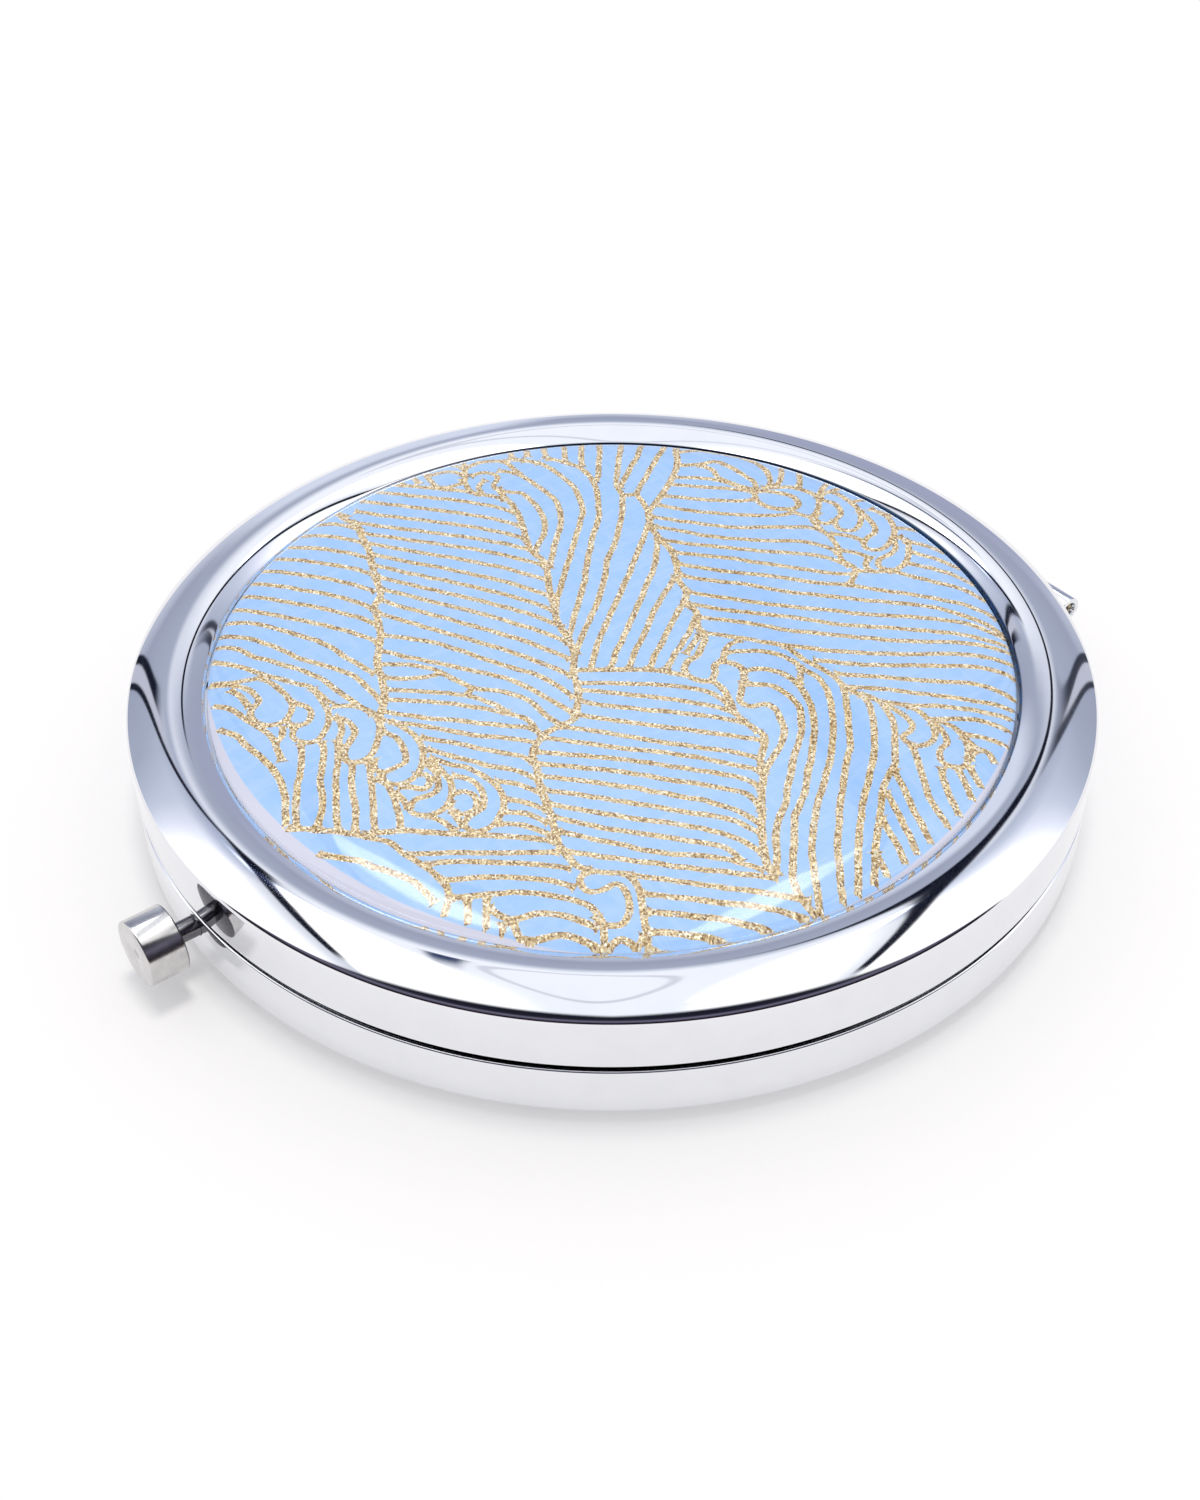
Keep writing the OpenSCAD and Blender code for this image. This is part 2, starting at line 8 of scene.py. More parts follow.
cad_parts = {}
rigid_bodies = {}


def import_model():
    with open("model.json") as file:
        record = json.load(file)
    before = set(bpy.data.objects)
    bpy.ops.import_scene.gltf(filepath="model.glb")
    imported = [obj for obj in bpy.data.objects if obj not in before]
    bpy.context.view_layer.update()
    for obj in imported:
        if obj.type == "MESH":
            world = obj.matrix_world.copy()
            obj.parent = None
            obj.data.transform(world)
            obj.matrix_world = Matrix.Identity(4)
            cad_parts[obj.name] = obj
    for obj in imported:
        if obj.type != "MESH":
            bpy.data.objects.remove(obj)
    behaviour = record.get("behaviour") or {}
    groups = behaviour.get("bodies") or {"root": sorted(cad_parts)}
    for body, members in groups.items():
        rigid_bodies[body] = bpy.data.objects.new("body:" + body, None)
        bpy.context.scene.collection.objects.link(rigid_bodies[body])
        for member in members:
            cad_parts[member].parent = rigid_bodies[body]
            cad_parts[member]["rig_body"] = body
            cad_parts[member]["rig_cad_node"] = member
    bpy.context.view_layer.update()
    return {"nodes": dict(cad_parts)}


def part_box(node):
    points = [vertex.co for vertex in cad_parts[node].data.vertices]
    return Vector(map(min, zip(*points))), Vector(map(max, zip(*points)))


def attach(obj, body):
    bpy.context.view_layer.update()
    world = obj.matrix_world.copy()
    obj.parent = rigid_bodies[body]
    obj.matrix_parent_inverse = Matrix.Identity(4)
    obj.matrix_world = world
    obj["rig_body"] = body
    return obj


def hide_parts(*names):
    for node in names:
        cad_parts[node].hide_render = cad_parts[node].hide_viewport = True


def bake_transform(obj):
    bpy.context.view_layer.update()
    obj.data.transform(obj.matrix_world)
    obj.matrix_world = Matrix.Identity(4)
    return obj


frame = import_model()
cadNodes = frame["nodes"]
mm = 0.001
photoTurn = 52.5  # degrees about Z from the photograph's own axes to the part's


def low(node):
    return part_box(node)[0] / mm


def high(node):
    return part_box(node)[1] / mm


# small helpers for modelling


def clearSelection():
    if bpy.context.object and bpy.context.object.mode != "OBJECT":
        bpy.ops.object.mode_set(mode="OBJECT")
    bpy.ops.object.select_all(action="DESELECT")


def pick(piece):
    clearSelection()
    piece.select_set(True)
    bpy.context.view_layer.objects.active = piece


pen = {"u": 0.0, "v": 0.0, "plane": "xz"}  # where the outline has got to, in mm


def onPlane(u, v):
    return Vector((u, 0, v)) * mm if pen["plane"] == "xz" else Vector((0, u, v)) * mm


def penDown(name, u, v, plane="xz"):  # a plane shrunk to the one point an outline is drawn out of
    clearSelection()
    bpy.ops.mesh.primitive_plane_add(size=mm)
    piece = bpy.context.object
    piece.name = name
    bpy.ops.object.mode_set(mode="EDIT")
    bpy.ops.mesh.select_all(action="SELECT")
    bpy.ops.mesh.merge(type="CENTER")
    pen.update(u=u, v=v, plane=plane)
    bpy.ops.transform.translate(value=onPlane(u, v))
    return piece


def penTo(u, v):
    bpy.ops.mesh.extrude_region_move(TRANSFORM_OT_translate={"value": onPlane(u - pen["u"], v - pen["v"])})
    pen.update(u=u, v=v)


def penAlong(*points):
    for u, v in points:
        penTo(u, v)


def penArc(centreU, centreV, degrees, steps):  # counterclockwise where degrees are positive
    axis = (0, 1, 0) if pen["plane"] == "xz" else (-1, 0, 0)
    bpy.ops.mesh.spin(steps=steps, angle=math.radians(degrees), center=onPlane(centreU, centreV), axis=axis)
    turned = complex(pen["u"] - centreU, pen["v"] - centreV) * complex(
        math.cos(math.radians(degrees)), math.sin(math.radians(degrees)))
    pen.update(u=centreU + turned.real, v=centreV + turned.imag)


def tidyFaces():
    bpy.ops.mesh.select_all(action="SELECT")
    bpy.ops.mesh.remove_doubles(threshold=0.002 * mm)
    bpy.ops.mesh.normals_make_consistent(inside=False)
    bpy.ops.object.mode_set(mode="OBJECT")


def turnAround(piece, steps, centre=(0, 0, 0), axis=(0, 0, 1)):
    bpy.ops.mesh.select_all(action="SELECT")
    bpy.ops.mesh.spin(steps=steps, angle=math.tau, center=centre, axis=axis)
    tidyFaces()
    return piece


def drawOut(piece, lowX, highX):  # a closed yz outline filled and extruded along x
    bpy.ops.mesh.select_all(action="SELECT")
    bpy.ops.mesh.remove_doubles(threshold=0.002 * mm)
    bpy.ops.mesh.edge_face_add()
    bpy.ops.transform.translate(value=(lowX * mm, 0, 0))
    bpy.ops.mesh.extrude_region_move(TRANSFORM_OT_translate={"value": ((highX - lowX) * mm, 0, 0)})
    tidyFaces()
    return piece


def blockBetween(name, lowCorner, highCorner):
    clearSelection()
    size = Vector(highCorner) - Vector(lowCorner)
    middle = (Vector(highCorner) + Vector(lowCorner)) / 2
    bpy.ops.mesh.primitive_cube_add(size=1, location=middle * mm, scale=size * mm)
    block = bpy.context.object
    block.name = name
    bpy.ops.object.transform_apply(location=True, rotation=True, scale=True)
    return block


def rodBetween(name, start, end, radius, sides=64):
    clearSelection()
    start, end = Vector(start), Vector(end)
    bpy.ops.mesh.primitive_cylinder_add(
        vertices=sides, radius=radius * mm, depth=(end - start).length * mm,
        location=(start + end) / 2 * mm, rotation=(end - start).to_track_quat("Z", "Y").to_euler())
    rod = bpy.context.object
    rod.name = name
    bpy.ops.object.transform_apply(location=True, rotation=True, scale=True)
    return rod


def cutAway(piece, cutter):
    pick(piece)
    cut = piece.modifiers.new("cut", "BOOLEAN")
    cut.operation = "DIFFERENCE"
    cut.solver = "EXACT"
    cut.object = cutter
    bpy.ops.object.modifier_apply(modifier=cut.name)
    bpy.data.objects.remove(cutter)


def easeEdges(piece, width, segments=2):
    pick(piece)
    rounding = piece.modifiers.new("rounding", "BEVEL")
    rounding.width = width * mm
    rounding.segments = segments
    rounding.limit_method = "ANGLE"
    rounding.angle_limit = math.radians(35)
    bpy.ops.object.modifier_apply(modifier=rounding.name)


def joinAll(name, parts):
    clearSelection()
    for part in parts:
        part.select_set(True)
    bpy.context.view_layer.objects.active = parts[0]
    if len(parts) > 1:
        bpy.ops.object.join()
    parts[0].name = name
    return parts[0]


def shift(piece, move):  # move in mm, kept in the mesh
    pick(piece)
    bpy.ops.transform.translate(value=Vector(move) * mm)
    bpy.ops.object.transform_apply(location=True, rotation=True, scale=True)


def copyOf(piece, name, move=(0, 0, 0)):
    pick(piece)
    bpy.ops.object.duplicate(linked=False)
    copied = bpy.context.object
    copied.name = name
    shift(copied, move)
    return copied


def finishPiece(piece, material, body, replaced, angle):
    pick(piece)
    bpy.ops.object.shade_smooth_by_angle(angle=math.radians(angle))
    piece.data.materials.clear()
    piece.data.materials.append(material)
    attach(piece, body)
    if replaced:
        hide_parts(*replaced)
    return piece


def repaint(node, material):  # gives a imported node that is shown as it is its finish
    cadNodes[node].data.materials.clear()
    cadNodes[node].data.materials.append(material)


def eased(name, node, width):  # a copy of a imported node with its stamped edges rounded
    pick(cadNodes[node])
    bpy.ops.object.duplicate(linked=False)
    piece = bpy.context.object
    piece.name = name
    piece.parent = None
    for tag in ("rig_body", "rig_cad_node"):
        if tag in piece:
            del piece[tag]
    bpy.ops.object.mode_set(mode="EDIT")
    bpy.ops.mesh.select_all(action="SELECT")
    bpy.ops.mesh.remove_doubles(threshold=0.002 * mm)
    bpy.ops.mesh.dissolve_limited(angle_limit=math.radians(1))
    bpy.ops.object.mode_set(mode="OBJECT")
    easeEdges(piece, width)
    return piece


# small helpers for node trees


def paint(red, green, blue):  # an 8-bit screen colour in linear light
    def linear(value):
        share = value / 255
        return share / 12.92 if share <= 0.04045 else ((share + 0.055) / 1.055) ** 2.4
    return (linear(red), linear(green), linear(blue), 1.0)


def wire(tree, socket, value):
    if isinstance(value, bpy.types.NodeSocket):
        tree.links.new(value, socket)
    else:
        socket.default_value = value


def sums(tree, operation, a, b=0.0):
    node = tree.nodes.new("ShaderNodeMath")
    node.operation = operation
    wire(tree, node.inputs[0], a)
    wire(tree, node.inputs[1], b)
    return node.outputs[0]


def times(tree, first, *others):
    for other in others:
        first = sums(tree, "MULTIPLY", first, other)
    return first


def lengthOf(tree, a, b):
    return sums(tree, "SQRT", sums(tree, "ADD", times(tree, a, a), times(tree, b, b)))


def vectors(tree, operation, a, b=None):
    node = tree.nodes.new("ShaderNodeVectorMath")
    node.operation = operation
    tree.links.new(a, node.inputs[0])
    if b is not None:
        wire(tree, node.inputs["Scale" if operation == "SCALE" else 1], b)
    return node.outputs["Value" if operation == "LENGTH" else "Vector"]


def ease(tree, value, start, end):  # smooth 0 to 1 as value goes from start to end
    node = tree.nodes.new("ShaderNodeMapRange")
    node.interpolation_type = "SMOOTHSTEP"
    wire(tree, node.inputs["Value"], value)
    node.inputs["From Min"].default_value = min(start, end)
    node.inputs["From Max"].default_value = max(start, end)
    node.inputs["To Min"].default_value = 0.0 if start < end else 1.0
    node.inputs["To Max"].default_value = 1.0 if start < end else 0.0
    return node.outputs["Result"]


def blendColours(tree, factor, first, second):
    node = tree.nodes.new("ShaderNodeMix")
    node.data_type = "RGBA"
    wire(tree, node.inputs["Factor"], factor)
    colourSockets = [s for s in node.inputs if s.type == "RGBA"]
    wire(tree, colourSockets[0], first)
    wire(tree, colourSockets[1], second)
    return [s for s in node.outputs if s.type == "RGBA"][0]


def ramp(tree, value, stops):
    node = tree.nodes.new("ShaderNodeValToRGB")
    elements = node.color_ramp.elements
    while len(elements) < len(stops):
        elements.new(0.5)
    for element, (place, colour) in zip(elements, stops):
        element.position = place
        element.color = colour
    wire(tree, node.inputs["Fac"], value)
    return node.outputs["Color"]


def objectPlace(tree, stretch=(1, 1, 1)):
    coordinates = tree.nodes.new("ShaderNodeTexCoord")
    mapping = tree.nodes.new("ShaderNodeMapping")
    mapping.inputs["Scale"].default_value = stretch
    tree.links.new(coordinates.outputs["Object"], mapping.inputs["Vector"])
    return mapping.outputs["Vector"]


def objectParts(tree):  # the X, Y and Z of the place on the object, in metres
    split = tree.nodes.new("ShaderNodeSeparateXYZ")
    tree.links.new(objectPlace(tree), split.inputs["Vector"])
    return split.outputs["X"], split.outputs["Y"], split.outputs["Z"]


def cloud(tree, place, scale, detail, roughness=0.5):
    node = tree.nodes.new("ShaderNodeTexNoise")
    wire(tree, node.inputs["Vector"], place)
    wire(tree, node.inputs["Scale"], scale)
    node.inputs["Detail"].default_value = detail
    node.inputs["Roughness"].default_value = roughness
    return node.outputs["Fac"]


def cellsOf(tree, scale):
    node = tree.nodes.new("ShaderNodeTexVoronoi")
    tree.links.new(objectPlace(tree), node.inputs["Vector"])
    tree.links.new(scale, node.inputs["Scale"])
    return node


def newGroup(name, inputs, outputs):
    group = bpy.data.node_groups.new(name, "ShaderNodeTree")
    for label, kind, value in inputs:
        socket = group.interface.new_socket(name=label, in_out="INPUT", socket_type=kind)
        socket.default_value = value
    for label, kind in outputs:
        group.interface.new_socket(name=label, in_out="OUTPUT", socket_type=kind)
    return group, group.nodes.new("NodeGroupInput"), group.nodes.new("NodeGroupOutput")


def placeGroup(tree, group, **values):
    node = tree.nodes.new("ShaderNodeGroup")
    node.node_tree = group
    for label, value in values.items():
        wire(tree, node.inputs[label], value)
    return node


def newMaterial(name, **settings):
    material = bpy.data.materials.new(name)
    material.use_nodes = True
    shader = material.node_tree.nodes["Principled BSDF"]
    for label, value in settings.items():
        shader.inputs[label.replace("_", " ")].default_value = value
    return material, material.node_tree, shader


def bump(tree, shader, height, strength, distance):
    node = tree.nodes.new("ShaderNodeBump")
    node.inputs["Strength"].default_value = strength
    node.inputs["Distance"].default_value = distance * mm
    tree.links.new(height, node.inputs["Height"])
    tree.links.new(node.outputs["Normal"], shader.inputs["Normal"])


def mixShaders(tree, factor, first, second, surface):
    node = tree.nodes.new("ShaderNodeMixShader")
    tree.links.new(factor, node.inputs["Fac"])
    tree.links.new(first, node.inputs[1])
    tree.links.new(second, node.inputs[2])
    tree.links.new(node.outputs["Shader"], surface)


print("helpers ready")

# camera

photoCamera = {
    "place": (90.47, -69.42, 98.62),   # mm, fitted to the rims in the photograph
    "look": (-0.60566, 0.45741, -0.65112),
    "up": (-0.51555, 0.39773, 0.75896),
    "lens": 47.55,                     # for the 1200 x 1500 frame on a 36 mm long side
}

clearSelection()
bpy.ops.object.camera_add(location=Vector(photoCamera["place"]) * mm)
camera = bpy.context.object
camera.name = "photoCamera"
lookAxis = Vector(photoCamera["look"]).normalized()
upAxis = Vector(photoCamera["up"]).normalized()
rightAxis = lookAxis.cross(upAxis).normalized()
camera.rotation_euler = Matrix((rightAxis, rightAxis.cross(lookAxis), -lookAxis)).transposed().to_euler()
camera.data.lens = photoCamera["lens"]
camera.data.sensor_width = 36
camera.data.sensor_fit = "AUTO"
camera.data.clip_start = 2 * mm
camera.data.clip_end = 20
bpy.context.scene.camera = camera
bpy.context.scene.view_settings.view_transform = "Standard"

# floor, lamp and studio surroundings

studio = {
    "floorSide": 6.0,          # metres
    "floorPaint": 0.96,
    "floorLift": 0.22,         # share of plain white in what the eye sees of the floor near the object
    "chromeLift": 0.40,        # and in what the chrome sees of it
    "farFloor": (0.12, 0.55),  # metres from the middle; the eye sees plain white beyond
    "floorGlow": 1.06,         # and how bright that white is
    "worldLevel": 0.79,
    "worldTint": (0.985, 0.965, 1.0, 1),
    "lampPower": 3.15,
    "lampSize": 0.26,
    "lampPlace": (0.02, 0.04, 1.0),
    "whiteLevel": 1.42,        # how bright the white surroundings are in the chrome
    "tubeLevel": 5.0,          # how many times brighter the tubes are
    "chromeShare": 0.80,       # what the plating gives back, so that greys below read as on screen
}

clearSelection()
bpy.ops.mesh.primitive_plane_add(size=studio["floorSide"], location=(0, 0, 0))
floor = bpy.context.object
floor.name = "floor"
floorMaterial, tree, shader = newMaterial("paleFloor", Roughness=1.0)
shader.inputs["Specular IOR Level"].default_value = 0.0
floorGrain = cloud(tree, objectPlace(tree), 18.0, 4.0)
floorColour = blendColours(
    tree, floorGrain, (studio["floorPaint"],) * 3 + (1,), (studio["floorPaint"] * 0.985,) * 3 + (1,))
tree.links.new(floorColour, shader.inputs["Base Color"])
glow = tree.nodes.new("ShaderNodeEmission")
glow.inputs["Strength"].default_value = studio["floorGlow"]
path = tree.nodes.new("ShaderNodeLightPath")
seen = sums(tree, "MAXIMUM", path.outputs["Is Camera Ray"], path.outputs["Is Transmission Ray"])
far = ease(tree, vectors(tree, "LENGTH", objectPlace(tree)), *studio["farFloor"])
share = sums(tree, "MAXIMUM", far, studio["floorLift"])
lift = sums(tree, "MAXIMUM", times(tree, seen, share),
            times(tree, path.outputs["Is Glossy Ray"], studio["chromeLift"]))
mixShaders(tree, lift, shader.outputs["BSDF"], glow.outputs["Emission"],
           tree.nodes["Material Output"].inputs["Surface"])
floor.data.materials.append(floorMaterial)

clearSelection()
lampTurn = Matrix.Rotation(math.radians(photoTurn), 3, "Z")
lampPlace = lampTurn @ Vector(studio["lampPlace"])
bpy.ops.object.light_add(type="AREA", location=lampPlace)
lamp = bpy.context.object
lamp.name = "softLamp"
lamp.data.shape = "DISK"
lamp.data.size = studio["lampSize"]
lamp.data.energy = studio["lampPower"]
lamp.data.color = (1.0, 0.98, 0.94)
lamp.rotation_euler = (-lampPlace).to_track_quat("-Z", "Y").to_euler()
lamp.visible_glossy = False
lamp.visible_transmission = False


def studioColour(red, green, blue):  # what the surroundings are where the chrome should show this colour
    gain = 1 / (studio["chromeShare"] * studio["whiteLevel"])
    return tuple(min(1.0, part * gain) for part in paint(red, green, blue)[:3]) + (1,)


world = bpy.data.worlds.new("studio")
bpy.context.scene.world = world
world.use_nodes = True
tree = world.node_tree
tree.nodes.clear()
direction = tree.nodes.new("ShaderNodeTexCoord").outputs["Generated"]
turned = tree.nodes.new("ShaderNodeVectorRotate")
turned.rotation_type = "Z_AXIS"
turned.inputs["Angle"].default_value = math.radians(-photoTurn)
tree.links.new(direction, turned.inputs["Vector"])
split = tree.nodes.new("ShaderNodeSeparateXYZ")
tree.links.new(turned.outputs["Vector"], split.inputs["Vector"])
side, away, up = split.outputs["X"], split.outputs["Y"], split.outputs["Z"]
aside = sums(tree, "ABSOLUTE", side)

# where a level ceiling would be met, as shares of its height
sideways = sums(tree, "DIVIDE", side, sums(tree, "MAXIMUM", up, 0.02))
onward = sums(tree, "DIVIDE", away, sums(tree, "MAXIMUM", up, 0.02))
overhead = ease(tree, up, 0.20, 0.30)
leftHalf = ease(tree, side, 0.02, -0.02)
rightHalf = ease(tree, side, -0.02, 0.02)


def product(*factors):
    return times(tree, *factors)


def near(value, soft, core):  # 1 where the value is about zero
    return ease(tree, sums(tree, "ABSOLUTE", value), soft, core)


# white overhead, a lavender grey bank beyond the object, lighter again towards the far horizon
spread = sums(tree, "SUBTRACT", aside, 0.45)
bank = sums(tree, "ADD", away, sums(tree, "MAXIMUM", product(spread, 0.25), product(spread, 0.5)))
sky = ramp(tree, bank, [
    (0.00, (1, 1, 1, 1)), (0.48, (1, 1, 1, 1)), (0.535, studioColour(232, 236, 248)),
    (0.595, studioColour(196, 203, 221)), (0.65, studioColour(177, 184, 203)),
    (0.71, studioColour(162, 169, 188)), (0.84, studioColour(152, 158, 178)),
    (0.92, studioColour(200, 205, 220)), (1.00, studioColour(246, 245, 249))])
middle = product(ease(tree, aside, 0.23, 0.12), ease(tree, away, 0.84, 0.71))
sky = blendColours(tree, middle, sky, studioColour(240, 243, 250))
rightFar = product(ease(tree, side, 0.02, 0.16), ease(tree, away, 0.82, 0.92))
sky = blendColours(tree, rightFar, sky, studioColour(156, 161, 184))
leftFar = product(ease(tree, side, -0.03, -0.10), ease(tree, side, -0.42, -0.26),
                  ease(tree, away, 0.82, 0.92))
sky = blendColours(tree, leftFar, sky, studioColour(208, 214, 230))

# the two straight seams of the overhead panel, dark, each with a soft grey side
seam = sums(tree, "ABSOLUTE", sums(tree, "ADD", side, product(up, 0.0275)))
seam = sums(tree, "SUBTRACT", sums(tree, "ADD", seam, product(away, 0.346)), product(up, 0.6025))
leftRun = product(leftHalf, ease(tree, onward, -0.14, 0.04), ease(tree, onward, 1.15, 1.06))
rightRun = product(rightHalf, ease(tree, onward, -0.28, -0.10), ease(tree, onward, 1.56, 1.42))
shade = product(leftHalf, overhead, ease(tree, away, 0.76, 0.70), ease(tree, seam, 0.17, 0.0),
                ease(tree, seam, -0.02, 0.0), 0.6)
sky = blendColours(tree, shade, sky, studioColour(150, 160, 184))
shade = product(rightHalf, overhead, ease(tree, onward, 1.0, 0.75), ease(tree, seam, -0.13, 0.0),
                ease(tree, seam, 0.02, 0.0), 0.5)
sky = blendColours(tree, shade, sky, studioColour(150, 160, 184))
leaned = sums(tree, "SUBTRACT", seam, product(rightHalf, ease(tree, onward, 0.70, 1.15), 0.016))
core = product(ease(tree, leaned, -0.030, -0.017), ease(tree, leaned, 0.024, 0.011),
               sums(tree, "MAXIMUM", leftRun, rightRun), overhead)
sky = blendColours(tree, core, sky, studioColour(14, 18, 34))

# a double dark line where the bank begins, with a light strip between
curve = sums(tree, "SUBTRACT", aside, 0.4)
innerLine = sums(tree, "SUBTRACT", away, sums(tree, "ADD", product(curve, curve, 0.6), 0.733))
curve = sums(tree, "SUBTRACT", aside, 0.5)
rightLine = sums(tree, "ADD", product(curve, curve, 0.5), 0.700)
curve = sums(tree, "SUBTRACT", aside, 0.38)
steep = sums(tree, "ADD", product(sums(tree, "LESS_THAN", curve, 0.0), 0.5), 0.25)
leftLine = sums(tree, "ADD", product(curve, curve, steep), 0.694)
outerLine = sums(tree, "ADD", rightLine, product(sums(tree, "SUBTRACT", leftLine, rightLine), leftHalf))
outerLine = sums(tree, "SUBTRACT", away, outerLine)
innerRun = sums(tree, "MAXIMUM", ease(tree, side, -0.27, -0.42), product(ease(tree, side, 0.12, 0.42), 0.9))
outerRun = sums(tree, "MAXIMUM", ease(tree, side, -0.12, -0.22), product(ease(tree, side, 0.12, 0.30), 0.9))
between = product(ease(tree, outerLine, 0.0, 0.006), ease(tree, innerLine, 0.0, -0.006),
                  ease(tree, aside, 0.2, 0.34), 0.8)
sky = blendColours(tree, between, sky, studioColour(190, 192, 205))
lines = sums(tree, "MAXIMUM", product(near(innerLine, 0.014, 0.008), innerRun),
             product(near(outerLine, 0.011, 0.005), outerRun))
sky = blendColours(tree, lines, sky, studioColour(16, 20, 36))

# a faint oval overhead, and a short dark stroke to the left of it
ovalAcross = sums(tree, "DIVIDE", sums(tree, "ADD", sideways, 0.03), 0.095)
ovalAlong = sums(tree, "DIVIDE", sums(tree, "SUBTRACT", onward, 0.45), 0.50)
oval = lengthOf(tree, ovalAcross, ovalAlong)
oval = product(near(sums(tree, "SUBTRACT", oval, 1.0), 0.09, 0.03), overhead, 0.45)
sky = blendColours(tree, oval, sky, studioColour(150, 155, 172))
stroke = sums(tree, "SUBTRACT", sums(tree, "ADD", sideways, 0.246), product(onward, 0.138))
stroke = product(near(stroke, 0.022, 0.010), ease(tree, onward, 0.40, 0.85),
                 ease(tree, onward, 0.98, 0.93), overhead)
sky = blendColours(tree, stroke, sky, studioColour(48, 62, 96))

# the darker room behind the camera
behind = sums(tree, "SUBTRACT", away, product(aside, 0.30))
room = ramp(tree, up, [
    (0.00, studioColour(96, 62, 60)), (0.10, studioColour(24, 20, 30)), (0.26, studioColour(30, 28, 38)),
    (0.42, studioColour(78, 74, 92)), (0.58, studioColour(104, 102, 120)), (0.80, studioColour(34, 33, 46)),
    (0.95, studioColour(22, 24, 36))])
sky = blendColours(tree, ease(tree, behind, -0.36, -0.44), sky, room)

# two long bright tubes that only show where the dome mirrors them
tubes = sums(tree, "MAXIMUM",
             product(ease(tree, sideways, -0.40, -0.31), ease(tree, sideways, -0.18, -0.22)),
             product(ease(tree, sideways, 0.14, 0.16), ease(tree, sideways, 0.27, 0.23)))
tubes = product(tubes, overhead, ease(tree, onward, -0.16, 0.05), ease(tree, onward, 0.95, 0.86))

path = tree.nodes.new("ShaderNodeLightPath")
structured = tree.nodes.new("ShaderNodeBackground")
tree.links.new(sky, structured.inputs["Color"])
firstBounce = sums(tree, "LESS_THAN", path.outputs["Diffuse Depth"], 0.5)
tubeGain = sums(tree, "ADD", product(tubes, firstBounce, studio["tubeLevel"]), 1.0)
tree.links.new(product(tubeGain, studio["whiteLevel"]), structured.inputs["Strength"])
plain = tree.nodes.new("ShaderNodeBackground")
shown = sums(tree, "MAXIMUM", path.outputs["Is Camera Ray"], path.outputs["Is Transmission Ray"])
tree.links.new(blendColours(tree, shown, studio["worldTint"], (1, 1, 1, 1)), plain.inputs["Color"])
level = sums(tree, "ADD", product(shown, 1 - studio["worldLevel"]), studio["worldLevel"])
tree.links.new(level, plain.inputs["Strength"])
mixShaders(tree, path.outputs["Is Glossy Ray"], plain.outputs["Background"],
           structured.outputs["Background"], tree.nodes.new("ShaderNodeOutputWorld").inputs["Surface"])
print("studio ready")

# shared effects

platingWear, into, outOf = newGroup(
    "platingWear",
    [("Tint", "NodeSocketColor", (0.8, 0.8, 0.8, 1)), ("Shine", "NodeSocketFloat", 0.05),
     ("Wear", "NodeSocketFloat", 0.5), ("Size", "NodeSocketFloat", 300.0)],
    [("Colour", "NodeSocketColor"), ("Roughness", "NodeSocketFloat"), ("Height", "NodeSocketFloat")])
tree = platingWear
place = objectPlace(tree)
mottle = cloud(tree, place, into.outputs["Size"], 3.0, 0.55)
fine = cloud(tree, place, times(tree, into.outputs["Size"], 9.0), 4.0, 0.6)
hairline = cloud(tree, objectPlace(tree, (1, 1, 0.05)), times(tree, into.outputs["Size"], 26.0), 2.0)
hairline = ease(tree, hairline, 0.62, 0.74)
worn = times(tree, ease(tree, mottle, 0.42, 0.75), into.outputs["Wear"])
dull = blendColours(tree, times(tree, worn, 0.35), into.outputs["Tint"], (0.55, 0.56, 0.6, 1))
tree.links.new(dull, outOf.inputs["Colour"])
rough = sums(tree, "ADD", into.outputs["Shine"], times(tree, worn, 0.05))
rough = sums(tree, "ADD", rough, times(tree, hairline, into.outputs["Wear"], 0.06))
tree.links.new(rough, outOf.inputs["Roughness"])
tree.links.new(sums(tree, "ADD", mottle, times(tree, fine, 0.06)), outOf.inputs["Height"])

goldFlakes, into, outOf = newGroup(
    "goldFlakes",
    [("Size", "NodeSocketFloat", 9000.0), ("Tilt", "NodeSocketFloat", 0.6)],
    [("Colour", "NodeSocketColor"), ("Roughness", "NodeSocketFloat"), ("Normal", "NodeSocketVector")])
tree = goldFlakes
flakes = cellsOf(tree, into.outputs["Size"])
chance = tree.nodes.new("ShaderNodeSeparateColor")
tree.links.new(flakes.outputs["Color"], chance.inputs["Color"])
golds = ramp(tree, chance.outputs["Red"], [
    (0.0, paint(142, 108, 66)), (0.22, paint(192, 158, 108)), (0.5, paint(224, 198, 146)),
    (0.78, paint(240, 222, 178)), (0.93, paint(253, 244, 216)), (1.0, paint(255, 253, 246))])
tree.links.new(golds, outOf.inputs["Colour"])
flakeRough = sums(tree, "ADD", times(tree, chance.outputs["Green"], 0.3), 0.25)
tree.links.new(flakeRough, outOf.inputs["Roughness"])
shape = tree.nodes.new("ShaderNodeNewGeometry")
tilt = vectors(tree, "SUBTRACT", flakes.outputs["Color"], (0.5, 0.5, 0.5))
tilt = vectors(tree, "SCALE", tilt, into.outputs["Tilt"])
tilted = vectors(tree, "ADD", shape.outputs["Normal"], tilt)
tree.links.new(vectors(tree, "NORMALIZE", tilted), outOf.inputs["Normal"])

